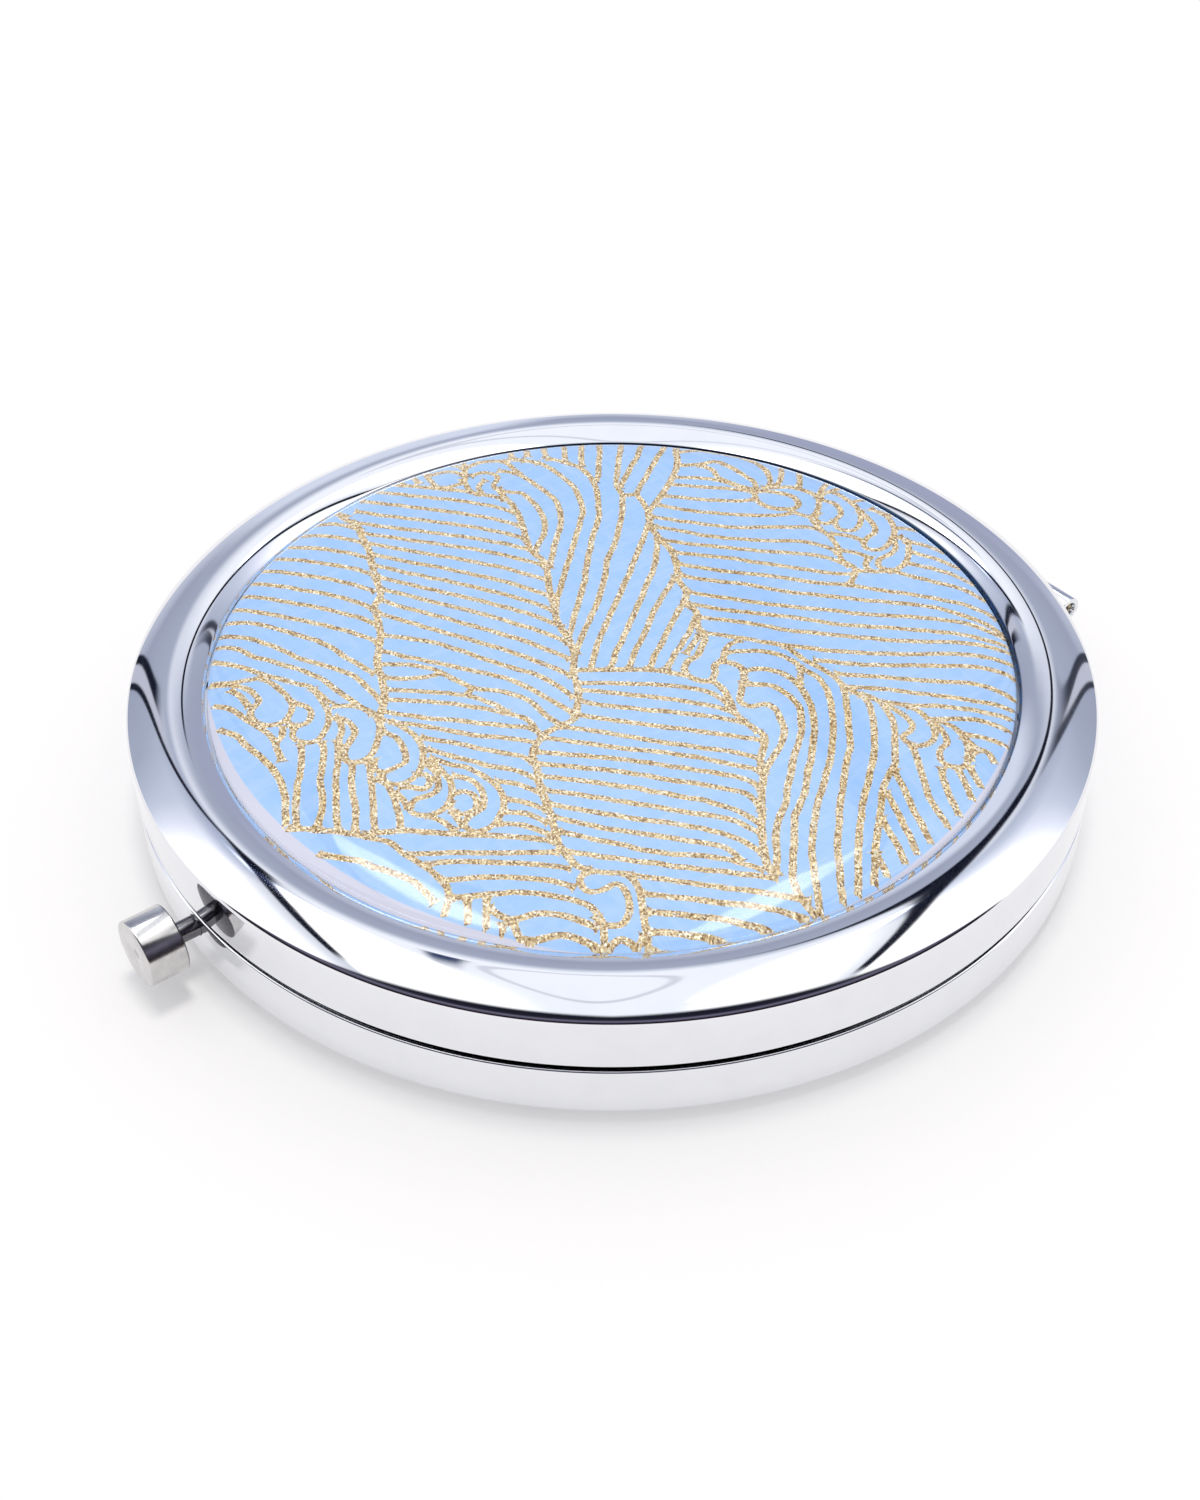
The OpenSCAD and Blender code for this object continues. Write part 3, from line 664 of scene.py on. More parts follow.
fibreGrain, into, outOf = newGroup(
    "fibreGrain",
    [("Colour", "NodeSocketColor", (0.5, 0.5, 0.5, 1)), ("Depth", "NodeSocketFloat", 0.1),
     ("Size", "NodeSocketFloat", 1500.0)],
    [("Colour", "NodeSocketColor"), ("Height", "NodeSocketFloat")])
tree = fibreGrain
long = cloud(tree, objectPlace(tree, (1, 0.22, 1)), into.outputs["Size"], 4.0, 0.65)
cross = cloud(tree, objectPlace(tree, (0.22, 1, 1)), into.outputs["Size"], 4.0, 0.65)
fibres = sums(tree, "MAXIMUM", long, cross)
shade = times(tree, ease(tree, fibres, 0.40, 0.72), into.outputs["Depth"])
pale = blendColours(tree, shade, into.outputs["Colour"], (0.95, 0.97, 1.0, 1))
tree.links.new(pale, outOf.inputs["Colour"])
tree.links.new(fibres, outOf.inputs["Height"])

latheMarks, into, outOf = newGroup(
    "latheMarks",
    [("Axis Height", "NodeSocketFloat", 0.00375), ("Pitch", "NodeSocketFloat", 12000.0)],
    [("Height", "NodeSocketFloat"), ("Bright", "NodeSocketFloat")])
tree = latheMarks
placeX, placeY, placeZ = objectParts(tree)
rise = sums(tree, "SUBTRACT", placeZ, into.outputs["Axis Height"])
along = sums(tree, "ADD", lengthOf(tree, placeX, rise), placeY)
grooves = tree.nodes.new("ShaderNodeTexNoise")
grooves.noise_dimensions = "1D"
tree.links.new(times(tree, along, into.outputs["Pitch"]), grooves.inputs["W"])
grooves.inputs["Scale"].default_value = 1.0
grooves.inputs["Detail"].default_value = 3.0
tree.links.new(grooves.outputs["Fac"], outOf.inputs["Height"])
tree.links.new(cloud(tree, objectPlace(tree), 1400.0, 3.0), outOf.inputs["Bright"])

cellFoam, into, outOf = newGroup(
    "cellFoam",
    [("Colour", "NodeSocketColor", (0.03, 0.03, 0.03, 1)), ("Size", "NodeSocketFloat", 5000.0)],
    [("Colour", "NodeSocketColor"), ("Height", "NodeSocketFloat")])
tree = cellFoam
fromCentre = cellsOf(tree, into.outputs["Size"]).outputs["Distance"]
pores = ease(tree, fromCentre, 0.0, 0.5)
foamColour = blendColours(tree, pores, (0.01, 0.01, 0.012, 1), into.outputs["Colour"])
tree.links.new(foamColour, outOf.inputs["Colour"])
tree.links.new(fromCentre, outOf.inputs["Height"])

# materials


def platedMetal(name, tint, shine, wear, size, bumpDepth):
    material, tree, shader = newMaterial(name, Metallic=1.0)
    worn = placeGroup(tree, platingWear, Tint=tint, Shine=shine, Wear=wear, Size=size)
    tree.links.new(worn.outputs["Colour"], shader.inputs["Base Color"])
    tree.links.new(worn.outputs["Roughness"], shader.inputs["Roughness"])
    bump(tree, shader, worn.outputs["Height"], 0.4, bumpDepth)
    return material


caseChrome = platedMetal("caseChrome", (0.81, 0.82, 0.85, 1), 0.035, 0.25, 260.0, 0.0016)
# painted shadow: a dark line in the gap round the insert, strongest at the right and the rear
gapShadow = {
    "inner": (29.0, 29.2),     # mm from the axis
    "outer": (29.64, 29.50),
    "height": (8.6, 8.9),      # mm above the table
    "turn": 25,                # degrees from the photograph's right to where it is darkest
    "fade": (-6.0, 12.0),
    "colour": (0.03, 0.06, 0.12, 1),
}
tree, shader = caseChrome.node_tree, caseChrome.node_tree.nodes["Principled BSDF"]
plating = shader.inputs["Base Color"].links[0].from_socket
placeX, placeY, placeZ = objectParts(tree)
fromAxis = lengthOf(tree, placeX, placeY)
gapShadowTurn = math.radians(photoTurn + gapShadow["turn"])
towardsRear = sums(tree, "ADD", times(tree, placeX, math.cos(gapShadowTurn)),
                   times(tree, placeY, math.sin(gapShadowTurn)))
# mask of the painted shadow that darkens the chrome in the gap round the insert
gapShadowMask = 1.0
for value, limits in ((fromAxis, gapShadow["outer"]), (fromAxis, gapShadow["inner"]),
                      (placeZ, gapShadow["height"]), (towardsRear, gapShadow["fade"])):
    gapShadowMask = times(tree, ease(tree, value, limits[0] * mm, limits[1] * mm), gapShadowMask)
gapShadowColour = blendColours(tree, gapShadowMask, plating, gapShadow["colour"])
tree.links.new(gapShadowColour, shader.inputs["Base Color"])
frameChrome = platedMetal("frameChrome", (0.60, 0.61, 0.635, 1), 0.15, 0.6, 500.0, 0.002)
hingeSteel = platedMetal("hingeSteel", (0.78, 0.79, 0.82, 1), 0.09, 0.8, 700.0, 0.003)
latchSteel = platedMetal("latchSteel", (0.60, 0.60, 0.62, 1), 0.26, 1.0, 900.0, 0.005)
rivetSteel = platedMetal("rivetSteel", (0.66, 0.66, 0.68, 1), 0.16, 0.9, 900.0, 0.003)
springWire = platedMetal("springWire", (0.55, 0.56, 0.60, 1), 0.22, 0.8, 1200.0, 0.003)
pinBrass = platedMetal("pinBrass", (0.74, 0.60, 0.34, 1), 0.24, 1.0, 1200.0, 0.004)

buttonSteel, tree, shader = newMaterial("buttonSteel", Metallic=1.0)
marks = placeGroup(tree, latheMarks, **{"Axis Height": 0.00375, "Pitch": 14000.0})
bright = ease(tree, marks.outputs["Bright"], 0.35, 0.7)
turnedFace = blendColours(tree, bright, (0.56, 0.55, 0.545, 1), (0.63, 0.62, 0.61, 1))
capShade = {"starts": 0.16, "full": 0.04}  # mm before the cap's rear, where it is dark against the case
placeY = objectParts(tree)[1]
capRear = high("button_cap").y
towardsCase = ease(tree, placeY, (capRear - capShade["starts"]) * mm, (capRear - capShade["full"]) * mm)
shadedFace = blendColours(tree, towardsCase, turnedFace, (0.16, 0.155, 0.165, 1))
tree.links.new(shadedFace, shader.inputs["Base Color"])
turnedRough = sums(tree, "ADD", times(tree, marks.outputs["Height"], 0.12), 0.12)
tree.links.new(turnedRough, shader.inputs["Roughness"])
bump(tree, shader, marks.outputs["Height"], 0.15, 0.003)

silverGlass, tree, shader = newMaterial("silverGlass", Metallic=1.0)
film = cloud(tree, objectPlace(tree), 120.0, 5.0, 0.6)
silver = blendColours(tree, film, (0.75, 0.78, 0.785, 1), (0.73, 0.765, 0.77, 1))
tree.links.new(silver, shader.inputs["Base Color"])
tree.links.new(times(tree, ease(tree, film, 0.55, 0.8), 0.03), shader.inputs["Roughness"])

groundEdge, tree, shader = newMaterial("groundEdge", Roughness=0.3, Transmission_Weight=0.0)
grit = cloud(tree, objectPlace(tree), 6000.0, 2.0)
ground = blendColours(tree, grit, paint(128, 158, 150), paint(176, 200, 194))
tree.links.new(ground, shader.inputs["Base Color"])
bump(tree, shader, grit, 0.4, 0.01)

# the print ends at these circles (centre and radius in mm, in the photograph's axes); they leave the
# paper blank in a narrow crescent at the near left and another at the near right
printEdges = [((2.81, 3.12), 32.15), ((-3.31, 2.59), 32.72)]
turnPrint = Matrix.Rotation(math.radians(photoTurn), 2)
bluePaper, tree, shader = newMaterial("bluePaper", Roughness=0.75)
fibre = placeGroup(tree, fibreGrain, Colour=(0.37, 0.61, 0.99, 1), Depth=0.16, Size=1500.0)
drift = cloud(tree, objectPlace(tree), 90.0, 2.0)
printed = blendColours(tree, times(tree, drift, 0.3), fibre.outputs["Colour"], (0.30, 0.54, 0.96, 1))
placeX, placeY = objectParts(tree)[:2]
margin = 0.0
for centre, reach in printEdges:
    placed = turnPrint @ Vector(centre)
    across = sums(tree, "SUBTRACT", placeX, placed.x * mm)
    along = sums(tree, "SUBTRACT", placeY, placed.y * mm)
    beyond = ease(tree, lengthOf(tree, across, along), (reach - 0.05) * mm, (reach + 0.05) * mm)
    margin = sums(tree, "MAXIMUM", margin, beyond)
tree.links.new(blendColours(tree, margin, printed, (0.66, 0.68, 0.80, 1)), shader.inputs["Base Color"])
shader.inputs["Specular IOR Level"].default_value = 0.2
bump(tree, shader, fibre.outputs["Height"], 0.35, 0.01)

goldInk, tree, shader = newMaterial("goldInk", Metallic=0.3)
glitter = placeGroup(tree, goldFlakes, Size=8500.0, Tilt=0.7)
tree.links.new(glitter.outputs["Colour"], shader.inputs["Base Color"])
tree.links.new(glitter.outputs["Roughness"], shader.inputs["Roughness"])
tree.links.new(glitter.outputs["Normal"], shader.inputs["Normal"])

clearResin, tree, shader = newMaterial("clearResin", Transmission_Weight=1.0, IOR=1.5)
shader.inputs["Base Color"].default_value = (0.985, 0.99, 1.0, 1)
touch = cloud(tree, objectPlace(tree), 160.0, 4.0, 0.6)
tree.links.new(times(tree, ease(tree, touch, 0.6, 0.85), 0.04), shader.inputs["Roughness"])
path = tree.nodes.new("ShaderNodeLightPath")
letThrough = tree.nodes.new("ShaderNodeBsdfTransparent")
# shadow and diffuse rays pass straight down to the paper
passing = sums(tree, "MAXIMUM", path.outputs["Is Shadow Ray"], path.outputs["Is Diffuse Ray"])
mixShaders(tree, passing, shader.outputs["BSDF"], letThrough.outputs["BSDF"],
           tree.nodes["Material Output"].inputs["Surface"])

glueFilm, tree, shader = newMaterial("glueFilm", Roughness=0.35)
haze = cloud(tree, objectPlace(tree), 700.0, 3.0)
cloudy = blendColours(tree, haze, (0.80, 0.81, 0.80, 1), (0.90, 0.90, 0.88, 1))
tree.links.new(cloudy, shader.inputs["Base Color"])

foamTape, tree, shader = newMaterial("foamTape", Roughness=0.95)
foam = placeGroup(tree, cellFoam, Colour=(0.04, 0.04, 0.045, 1), Size=5200.0)
tree.links.new(foam.outputs["Colour"], shader.inputs["Base Color"])
bump(tree, shader, foam.outputs["Height"], 0.6, 0.05)

backingCard, tree, shader = newMaterial("backingCard", Roughness=0.9)
board = placeGroup(tree, fibreGrain, Colour=(0.36, 0.28, 0.18, 1), Depth=0.22, Size=2400.0)
tree.links.new(board.outputs["Colour"], shader.inputs["Base Color"])
bump(tree, shader, board.outputs["Height"], 0.5, 0.03)
print("materials ready")

# lid shell

lid = {
    "wall": high("lid_shell").x,          # outside radius
    "rim": low("lid_shell").z,
    "sheet": 0.5,
    "crownIn": 3.0,                       # from the wall to the ring's crown
    "crownHigh": 5.0,                     # from the rim to the crown
    "section": 4.8,                       # radius of the ring's section
    "fillet": 0.6,
    "recessIn": 5.6,                      # from the wall to the recess
    "recessDeep": 1.5,
    "rimRound": 0.15,
    "lipRound": 0.4,                      # where the ring turns down into the recess
    "steps": 320,
}


def ringAngle(radius, section):  # where the section circle reaches this radius, degrees
    return math.degrees(math.acos((radius - (lid["wall"] - lid["crownIn"])) / section))


wall, rim, sheet = lid["wall"], lid["rim"], lid["sheet"]
crown = wall - lid["crownIn"]
ringMiddle = rim + lid["crownHigh"] - lid["section"]
recess = wall - lid["recessIn"]
recessFloor = rim + lid["crownHigh"] - lid["recessDeep"]
filletOut = lid["crownIn"] - lid["fillet"]
filletUp = math.sqrt((lid["section"] - lid["fillet"]) ** 2 - filletOut ** 2)
filletAngle = math.degrees(math.atan2(filletUp, filletOut))
lipIn = lid["recessIn"] - lid["crownIn"] - lid["lipRound"]
lipUp = math.sqrt((lid["section"] - lid["lipRound"]) ** 2 - lipIn ** 2)
lipAngle = math.degrees(math.atan2(lipUp, -lipIn))
hiddenSection = lid["section"] - sheet
hiddenOut = ringAngle(wall - sheet, hiddenSection)
hiddenIn = ringAngle(recess + sheet, hiddenSection)

lidCase = penDown("lidCase", 0, recessFloor)
penAlong((recess, recessFloor), (recess, ringMiddle + lipUp))
penArc(recess + lid["lipRound"], ringMiddle + lipUp, lipAngle - 180, 8)
penArc(crown, ringMiddle, filletAngle - lipAngle, 72)
penArc(crown + filletOut, ringMiddle + filletUp, -filletAngle, 12)
penTo(wall, rim + lid["rimRound"])
penArc(wall - lid["rimRound"], rim + lid["rimRound"], -90, 5)
penAlong((wall - sheet, rim),
         (wall - sheet, ringMiddle + hiddenSection * math.sin(math.radians(hiddenOut))))
penArc(crown, ringMiddle, hiddenIn - hiddenOut, 24)
penAlong((recess + sheet, recessFloor - sheet), (0, recessFloor - sheet))
turnAround(lidCase, lid["steps"])
leafHalf = high("lid_hinge_leaf").x + 0.2
flangeLow = high("lid_hinge_leaf").z - 0.45
cutAway(lidCase, blockBetween("notch", (-leafHalf, high("lid_mirror").x - 1, rim - 1),
                              (leafHalf, wall + 1, flangeLow)))
finishPiece(lidCase, caseChrome, "lid", ["lid_shell"], 24)

# base shell

base = {"top": high("base_shell").z, "turnWide": 4.5, "turnHigh": 1.35, "steps": 320}

baseCase = penDown("baseCase", 0, 0)
penTo(wall - base["turnWide"], 0)
turnSteps = 24
for step in range(1, turnSteps + 1):  # quarter ellipse out to the wall
    angle = math.radians(90 * step / turnSteps)
    penTo(wall - base["turnWide"] * (1 - math.sin(angle)), base["turnHigh"] * (1 - math.cos(angle)))
penTo(wall, base["top"] - lid["rimRound"])
penArc(wall - lid["rimRound"], base["top"] - lid["rimRound"], 90, 5)
penTo(wall - sheet, base["top"])
for step in range(turnSteps, 0, -1):
    angle = math.radians(90 * step / turnSteps)
    penTo(wall - sheet - (base["turnWide"] - sheet) * (1 - math.sin(angle)),
          sheet + (base["turnHigh"] - sheet) * (1 - math.cos(angle)))
penAlong((wall - base["turnWide"], sheet), (0, sheet))
turnAround(baseCase, base["steps"])
barrelHalf = high("base_hinge_leaf").x
barrelNotch = barrelHalf + 0.2
stemRadius = high("button_stem").x
stemHigh = (high("button_cap").z + low("button_cap").z) / 2
cutAway(baseCase, blockBetween(
    "notch", (-barrelNotch, high("base_mirror").x - 1, low("base_hinge_leaf").z - 0.2),
    (barrelNotch, wall + 1, base["top"] + 1)))
cutAway(baseCase, rodBetween("hole", (0, -wall + 2, stemHigh), (0, -wall - 2, stemHigh), stemRadius + 0.05))
finishPiece(baseCase, caseChrome, "base", ["base_shell"], 24)
print("case halves ready")

# mirror frames and mirrors

ring = {"sheet": 0.4, "lip": 0.25, "round": 0.3, "skirt": 2.7}


def pressedFrame(name, node, facing):  # facing is 1 where the visible side is up
    outer = high(node).x
    opening = high("base_mirror").x - 0.8
    face = high(node).z if facing > 0 else low(node).z

    def at(depth):
        return face - facing * depth

    piece = penDown(name, outer - ring["sheet"], at(ring["skirt"]))
    penAlong((outer, at(ring["skirt"])), (outer, at(ring["round"])))
    penArc(outer - ring["round"], at(ring["round"]), 90 * facing, 8)
    penTo(opening + ring["round"], at(0))
    penArc(opening + ring["round"], at(ring["round"]), 90 * facing, 8)
    penAlong((opening, at(ring["sheet"] + ring["lip"])),
             (opening + ring["sheet"], at(ring["sheet"] + ring["lip"])),
             (opening + ring["sheet"], at(ring["sheet"])), (outer - ring["sheet"], at(ring["sheet"])),
             (outer - ring["sheet"], at(ring["skirt"])))
    return turnAround(piece, 240)


window = {"half": 2.2, "inner": -29.4, "outer": -31.8}  # where the hook passes
gate = {"half": 8, "deep": 3.3}                         # where the slider and its tray pass
guideTop = high("latch_guide").z
baseRing = pressedFrame("baseMirrorFrame", "base_frame", 1)
cutAway(baseRing, blockBetween("window", (-window["half"], -wall, 1),
                               (window["half"], window["inner"], base["top"])))
cutAway(baseRing, blockBetween("gate", (-gate["half"], -wall, 1),
                               (gate["half"], low("latch_slider").y + gate["deep"], guideTop)))
cutAway(baseRing, blockBetween("notch", (-barrelNotch, low("base_hinge_leaf").y, 1),
                               (barrelNotch, wall, guideTop)))
finishPiece(baseRing, frameChrome, "base", ["base_frame"], 28)

lidRing = pressedFrame("lidMirrorFrame", "lid_frame", -1)
cutAway(lidRing, blockBetween("window", (-window["half"], window["outer"], rim),
                              (window["half"], window["inner"], rim + 2)))
cutAway(lidRing, blockBetween("notch", (-leafHalf, -window["outer"], rim),
                              (leafHalf, wall, high("lid_hinge_leaf").z + 0.2)))
finishPiece(lidRing, frameChrome, "lid", ["lid_frame"], 28)

glass = {
    "radius": high("base_mirror").x, "edge": 0.15, "ground": 0.12, "hollow": 27.2, "deep": 0.7,
    "hollowSteps": 48, "steps": 200,
}


def startMirror(name, node):
    lowerZ, upperZ = low(node).z, high(node).z
    piece = penDown(name, 0, lowerZ)
    penAlong((glass["radius"] - glass["edge"], lowerZ), (glass["radius"], lowerZ + glass["edge"]),
             (glass["radius"], upperZ - glass["edge"]), (glass["radius"] - glass["edge"], upperZ))
    return piece, upperZ


def endMirror(piece, body, node):  # the ground rim takes the second material
    turnAround(piece, glass["steps"])
    finishPiece(piece, silverGlass, body, [node], 30)
    piece.data.materials.append(groundEdge)
    for face in piece.data.polygons:
        if face.center.xy.length > (glass["radius"] - glass["ground"]) * mm:
            face.material_index = 1


magnifier, upperZ = startMirror("magnifyingMirror", "base_mirror")
penTo(glass["hollow"], upperZ)
for step in range(glass["hollowSteps"] - 1, -1, -1):
    share = step / glass["hollowSteps"]
    penTo(glass["hollow"] * share, upperZ - glass["deep"] * (1 - share * share))
endMirror(magnifier, "base", "base_mirror")

plainMirror, upperZ = startMirror("plainMirror", "lid_mirror")
penTo(0, upperZ)
endMirror(plainMirror, "lid", "lid_mirror")

repaint("base_mirror_pad", foamTape)
repaint("lid_mirror_pad", foamTape)
repaint("base_card", backingCard)
print("frames and mirrors ready")

# hinge

hinge = {
    "sheet": 0.4, "pin": 1.2, "gap": 0.05, "middle": 4.6, "apart": 0.2, "lidKnuckle": 5.0,
    "plate": 2.4,              # from the leaf's edge to where the rolled straps begin
    "overlap": 0.3,            # how far the base straps start inside the plate
    "slope": 0.6,              # from there to the top of the lid leaf's step
    "stepEnd": 1.0,            # and to the end of the flat on it
    "lidStrap": 0.8,           # where the lid's rolled straps start
    "rolled": 248,             # degrees
}
knuckle = hinge["pin"] / 2 + hinge["gap"] + hinge["sheet"]
pinLow, pinHigh = low("hinge_pin"), high("hinge_pin")
axisY, axisZ = (pinLow.y + pinHigh.y) / 2, (pinLow.z + pinHigh.z) / 2
leafEdge = low("base_hinge_leaf").y
leafBend = leafEdge + hinge["plate"]
lidStart = hinge["middle"] / 2 + hinge["apart"]
lidEnd = lidStart + hinge["lidKnuckle"]


def rolledKnuckle(name, lowX, highX, strapStart, facing):  # facing is 1 for the base, whose strap lies low
    boreR = knuckle - hinge["sheet"]
    strap = axisZ - facing * knuckle
    piece = penDown(name, strapStart, strap, "yz")
    penTo(axisY, strap)
    penArc(axisY, axisZ, hinge["rolled"] * facing, 36)
    rolledY, rolledZ = pen["u"], pen["v"]
    back = boreR / knuckle
    penTo(axisY + (rolledY - axisY) * back, axisZ + (rolledZ - axisZ) * back)
    penArc(axisY, axisZ, -hinge["rolled"] * facing, 36)
    penAlong((strapStart, strap + facing * hinge["sheet"]), (strapStart, strap))
    drawOut(piece, lowX, highX)
    return piece


baseStart = leafBend - hinge["overlap"]
knuckleA = rolledKnuckle("knuckleA", -barrelHalf, -lidEnd - hinge["apart"], baseStart, 1)
baseParts = [
    knuckleA,
    rolledKnuckle("knuckleB", -hinge["middle"] / 2, hinge["middle"] / 2, baseStart, 1),
    copyOf(knuckleA, "knuckleC", (barrelHalf + lidEnd + hinge["apart"], 0, 0)),
    blockBetween("leafPlate", (-barrelHalf, leafEdge, axisZ - knuckle),
                 (barrelHalf, leafBend, axisZ - knuckle + hinge["sheet"]))]
for part in baseParts:
    easeEdges(part, 0.05)
baseHinge = joinAll("baseHingeLeaf", baseParts)
finishPiece(baseHinge, hingeSteel, "base", ["base_hinge_leaf"], 30)

strapTop = axisZ + knuckle
flangeTop = high("lid_hinge_leaf").z - hinge["sheet"]
lidPlate = penDown("lidPlate", leafEdge, flangeTop, "yz")
slopeEnd, stepEnd = leafBend + hinge["slope"], leafBend + hinge["stepEnd"]
penAlong((leafBend, flangeTop), (slopeEnd, strapTop - hinge["sheet"]), (stepEnd, strapTop - hinge["sheet"]),
         (stepEnd, strapTop), (slopeEnd, strapTop), (leafBend, flangeTop + hinge["sheet"]),
         (leafEdge, flangeTop + hinge["sheet"]), (leafEdge, flangeTop))
drawOut(lidPlate, -lidEnd, lidEnd)
knuckleD = rolledKnuckle("knuckleD", -lidEnd, -lidStart, leafBend + hinge["lidStrap"], -1)
lidParts = [lidPlate, knuckleD, copyOf(knuckleD, "knuckleE", (lidStart + lidEnd, 0, 0))]
for part in lidParts:
    easeEdges(part, 0.05)
lidHinge = joinAll("lidHingeLeaf", lidParts)
finishPiece(lidHinge, hingeSteel, "lid", ["lid_hinge_leaf"], 30)

pinHalf = pinHigh.x
hingePin = rodBetween("hingePin", (-pinHalf, axisY, axisZ), (pinHalf, axisY, axisZ), hinge["pin"] / 2, 48)
easeEdges(hingePin, 0.14, 3)
finishPiece(hingePin, pinBrass, "base", ["hinge_pin"], 40)

# rivets

rivet = {"head": 0.95, "headHigh": 0.25, "shank": 0.6, "tail": 0.775, "headSteps": 8, "steps": 40}


def oneRivet(z, grip, facing):
    piece = penDown("rivet", 0, z + facing * rivet["headHigh"])
    for step in range(1, rivet["headSteps"] + 1):
        angle = math.radians(90 - step * 90 / rivet["headSteps"])
        penTo(rivet["head"] * math.cos(angle), z + facing * rivet["headHigh"] * math.sin(angle))
    penAlong((rivet["shank"], z), (rivet["shank"], z - facing * grip), (rivet["tail"], z - facing * grip),
             (rivet["tail"], z - facing * (grip + rivet["headHigh"])),
             (0, z - facing * (grip + rivet["headHigh"])))
    return turnAround(piece, rivet["steps"])


def rivetRow(name, node, places, grip, body):  # places are shares of the way out to the end rivet
    endX = high(node).x - rivet["head"]
    middleY = (low(node).y + high(node).y) / 2
    face, facing = (high("base_frame").z, 1) if body == "base" else (low("lid_frame").z, -1)
    rivets = [oneRivet(face, grip, facing)]
    rivets += [copyOf(rivets[0], "rivet") for place in places[1:]]
    for piece, place in zip(rivets, places):
        shift(piece, (place * endX, middleY, 0))
    finishPiece(joinAll(name, rivets), rivetSteel, body, [node], 35)


rivetRow("baseLeafRivets", "base_leaf_rivets", (-1, 0, 1), 0.8, "base")
rivetRow("guideRivets", "guide_rivets", (-1, 1), 0.7, "base")
rivetRow("lidLeafRivets", "lid_leaf_rivets", (-1, 1), 0.8, "lid")
rivetRow("catchRivets", "catch_rivets", (-1, 1), 0.9, "lid")

# latch

for name, node, body, width in (("latchSlider", "latch_slider", "button", 0.06),
                                ("latchGuide", "latch_guide", "base", 0.04),
                                ("lidCatch", "lid_catch", "lid", 0.04)):
    finishPiece(eased(name, node, width), latchSteel, body, [node], 30)

# a return spring is wound as one wire and copied, and each is set in its place between the guide and the
# slider
spring = {"wire": 0.22, "turns": 5, "stepsPerTurn": 40, "sides": 12}
size = high("return_spring_left") - low("return_spring_left")
clearSelection()
bpy.ops.mesh.primitive_circle_add(vertices=spring["sides"], radius=spring["wire"] / 2 * mm,
                                  location=((size.x - spring["wire"]) / 2 * mm, 0, 0))
coil = bpy.context.object
coil.name = "returnSpringLeft"
bpy.ops.object.transform_apply(location=True, rotation=False, scale=False)
bpy.ops.object.modifier_add(type="SCREW")
winding = coil.modifiers[-1]
winding.axis = "Y"
winding.iterations = spring["turns"]
winding.screw_offset = (size.y - spring["wire"]) / spring["turns"] * mm
winding.steps = winding.render_steps = spring["stepsPerTurn"]
bpy.ops.object.modifier_apply(modifier=winding.name)
bpy.ops.object.mode_set(mode="EDIT")
bpy.ops.mesh.select_all(action="SELECT")
bpy.ops.mesh.fill_holes(sides=0)
bpy.ops.mesh.select_all(action="SELECT")
bpy.ops.mesh.normals_make_consistent(inside=False)
bpy.ops.object.mode_set(mode="OBJECT")
bpy.ops.object.shade_smooth_by_angle(angle=math.radians(40))
coil.data.materials.append(springWire)
secondCoil = copyOf(coil, "returnSpringRight")
for coil, node in ((coil, "return_spring_left"), (secondCoil, "return_spring_right")):
    middle = (low(node) + high(node)) / 2
    shift(coil, (middle.x, low(node).y + spring["wire"] / 2, middle.z))
    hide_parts(node)
    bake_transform(coil)
print("hinge and latch ready")

# push button

button = {"bevel": 0.12, "dimple": 0.28, "dimpleDeep": 0.07, "bore": 0.77, "boreDeep": 1.5, "steps": 96}
capFront, capRadius = low("button_cap").y, high("button_cap").x

cap = penDown("buttonCap", capFront + button["dimpleDeep"], stemHigh, "yz")
penAlong((capFront + button["dimpleDeep"] * 0.8, stemHigh + button["dimple"] * 0.45),
         (capFront + button["dimpleDeep"] * 0.2, stemHigh + button["dimple"] * 0.85),
         (capFront, stemHigh + button["dimple"]), (capFront, stemHigh + capRadius - button["bevel"]))
penArc(capFront + button["bevel"], stemHigh + capRadius - button["bevel"], -90, 5)
penTo(capRear - button["bevel"], stemHigh + capRadius)
penArc(capRear - button["bevel"], stemHigh + capRadius - button["bevel"], -90, 5)
penAlong((capRear, stemHigh + button["bore"]), (capRear - button["boreDeep"], stemHigh + button["bore"]),
         (capRear - button["boreDeep"], stemHigh))
turnAround(cap, button["steps"], (0, 0, stemHigh * mm), (0, 1, 0))
finishPiece(cap, buttonSteel, "button", ["button_cap"], 28)

stemFront, stemRear = low("button_stem").y, high("button_stem").y
tenon = {"radius": 0.5, "long": 1.3, "bevel": 0.08}
stem = penDown("buttonStem", stemFront, stemHigh, "yz")
shoulderY = stemRear - tenon["long"]
penAlong((stemFront, stemHigh + stemRadius), (shoulderY - tenon["bevel"], stemHigh + stemRadius),
         (shoulderY, stemHigh + stemRadius - tenon["bevel"]), (shoulderY, stemHigh + tenon["radius"]),
         (stemRear, stemHigh + tenon["radius"]), (stemRear, stemHigh))
turnAround(stem, 64, (0, 0, stemHigh * mm), (0, 1, 0))
finishPiece(stem, buttonSteel, "button", ["button_stem"], 28)
print("button ready")

# clear dome over the paper

dome = {
    "radius": high("clear_dome").x, "seat": high("printed_paper").z, "tall": 1.55, "edge": 0.35,
    "shoulder": 3.2, "rise": 0.2, "sink": 0.015, "footIn": 0.05, "footHigh": 0.04,
    "shoulderSteps": 40, "flatSteps": 26,
}
flatRadius = dome["radius"] - dome["shoulder"]


def domeHeight(radius):
    over = max(0.0, (radius - flatRadius) / dome["shoulder"])
    bulge = (dome["tall"] - dome["edge"] - dome["rise"]) * math.sqrt(max(0.0, 1 - over ** 2))
    return dome["edge"] + dome["rise"] * (1 - (radius / dome["radius"]) ** 2) + bulge


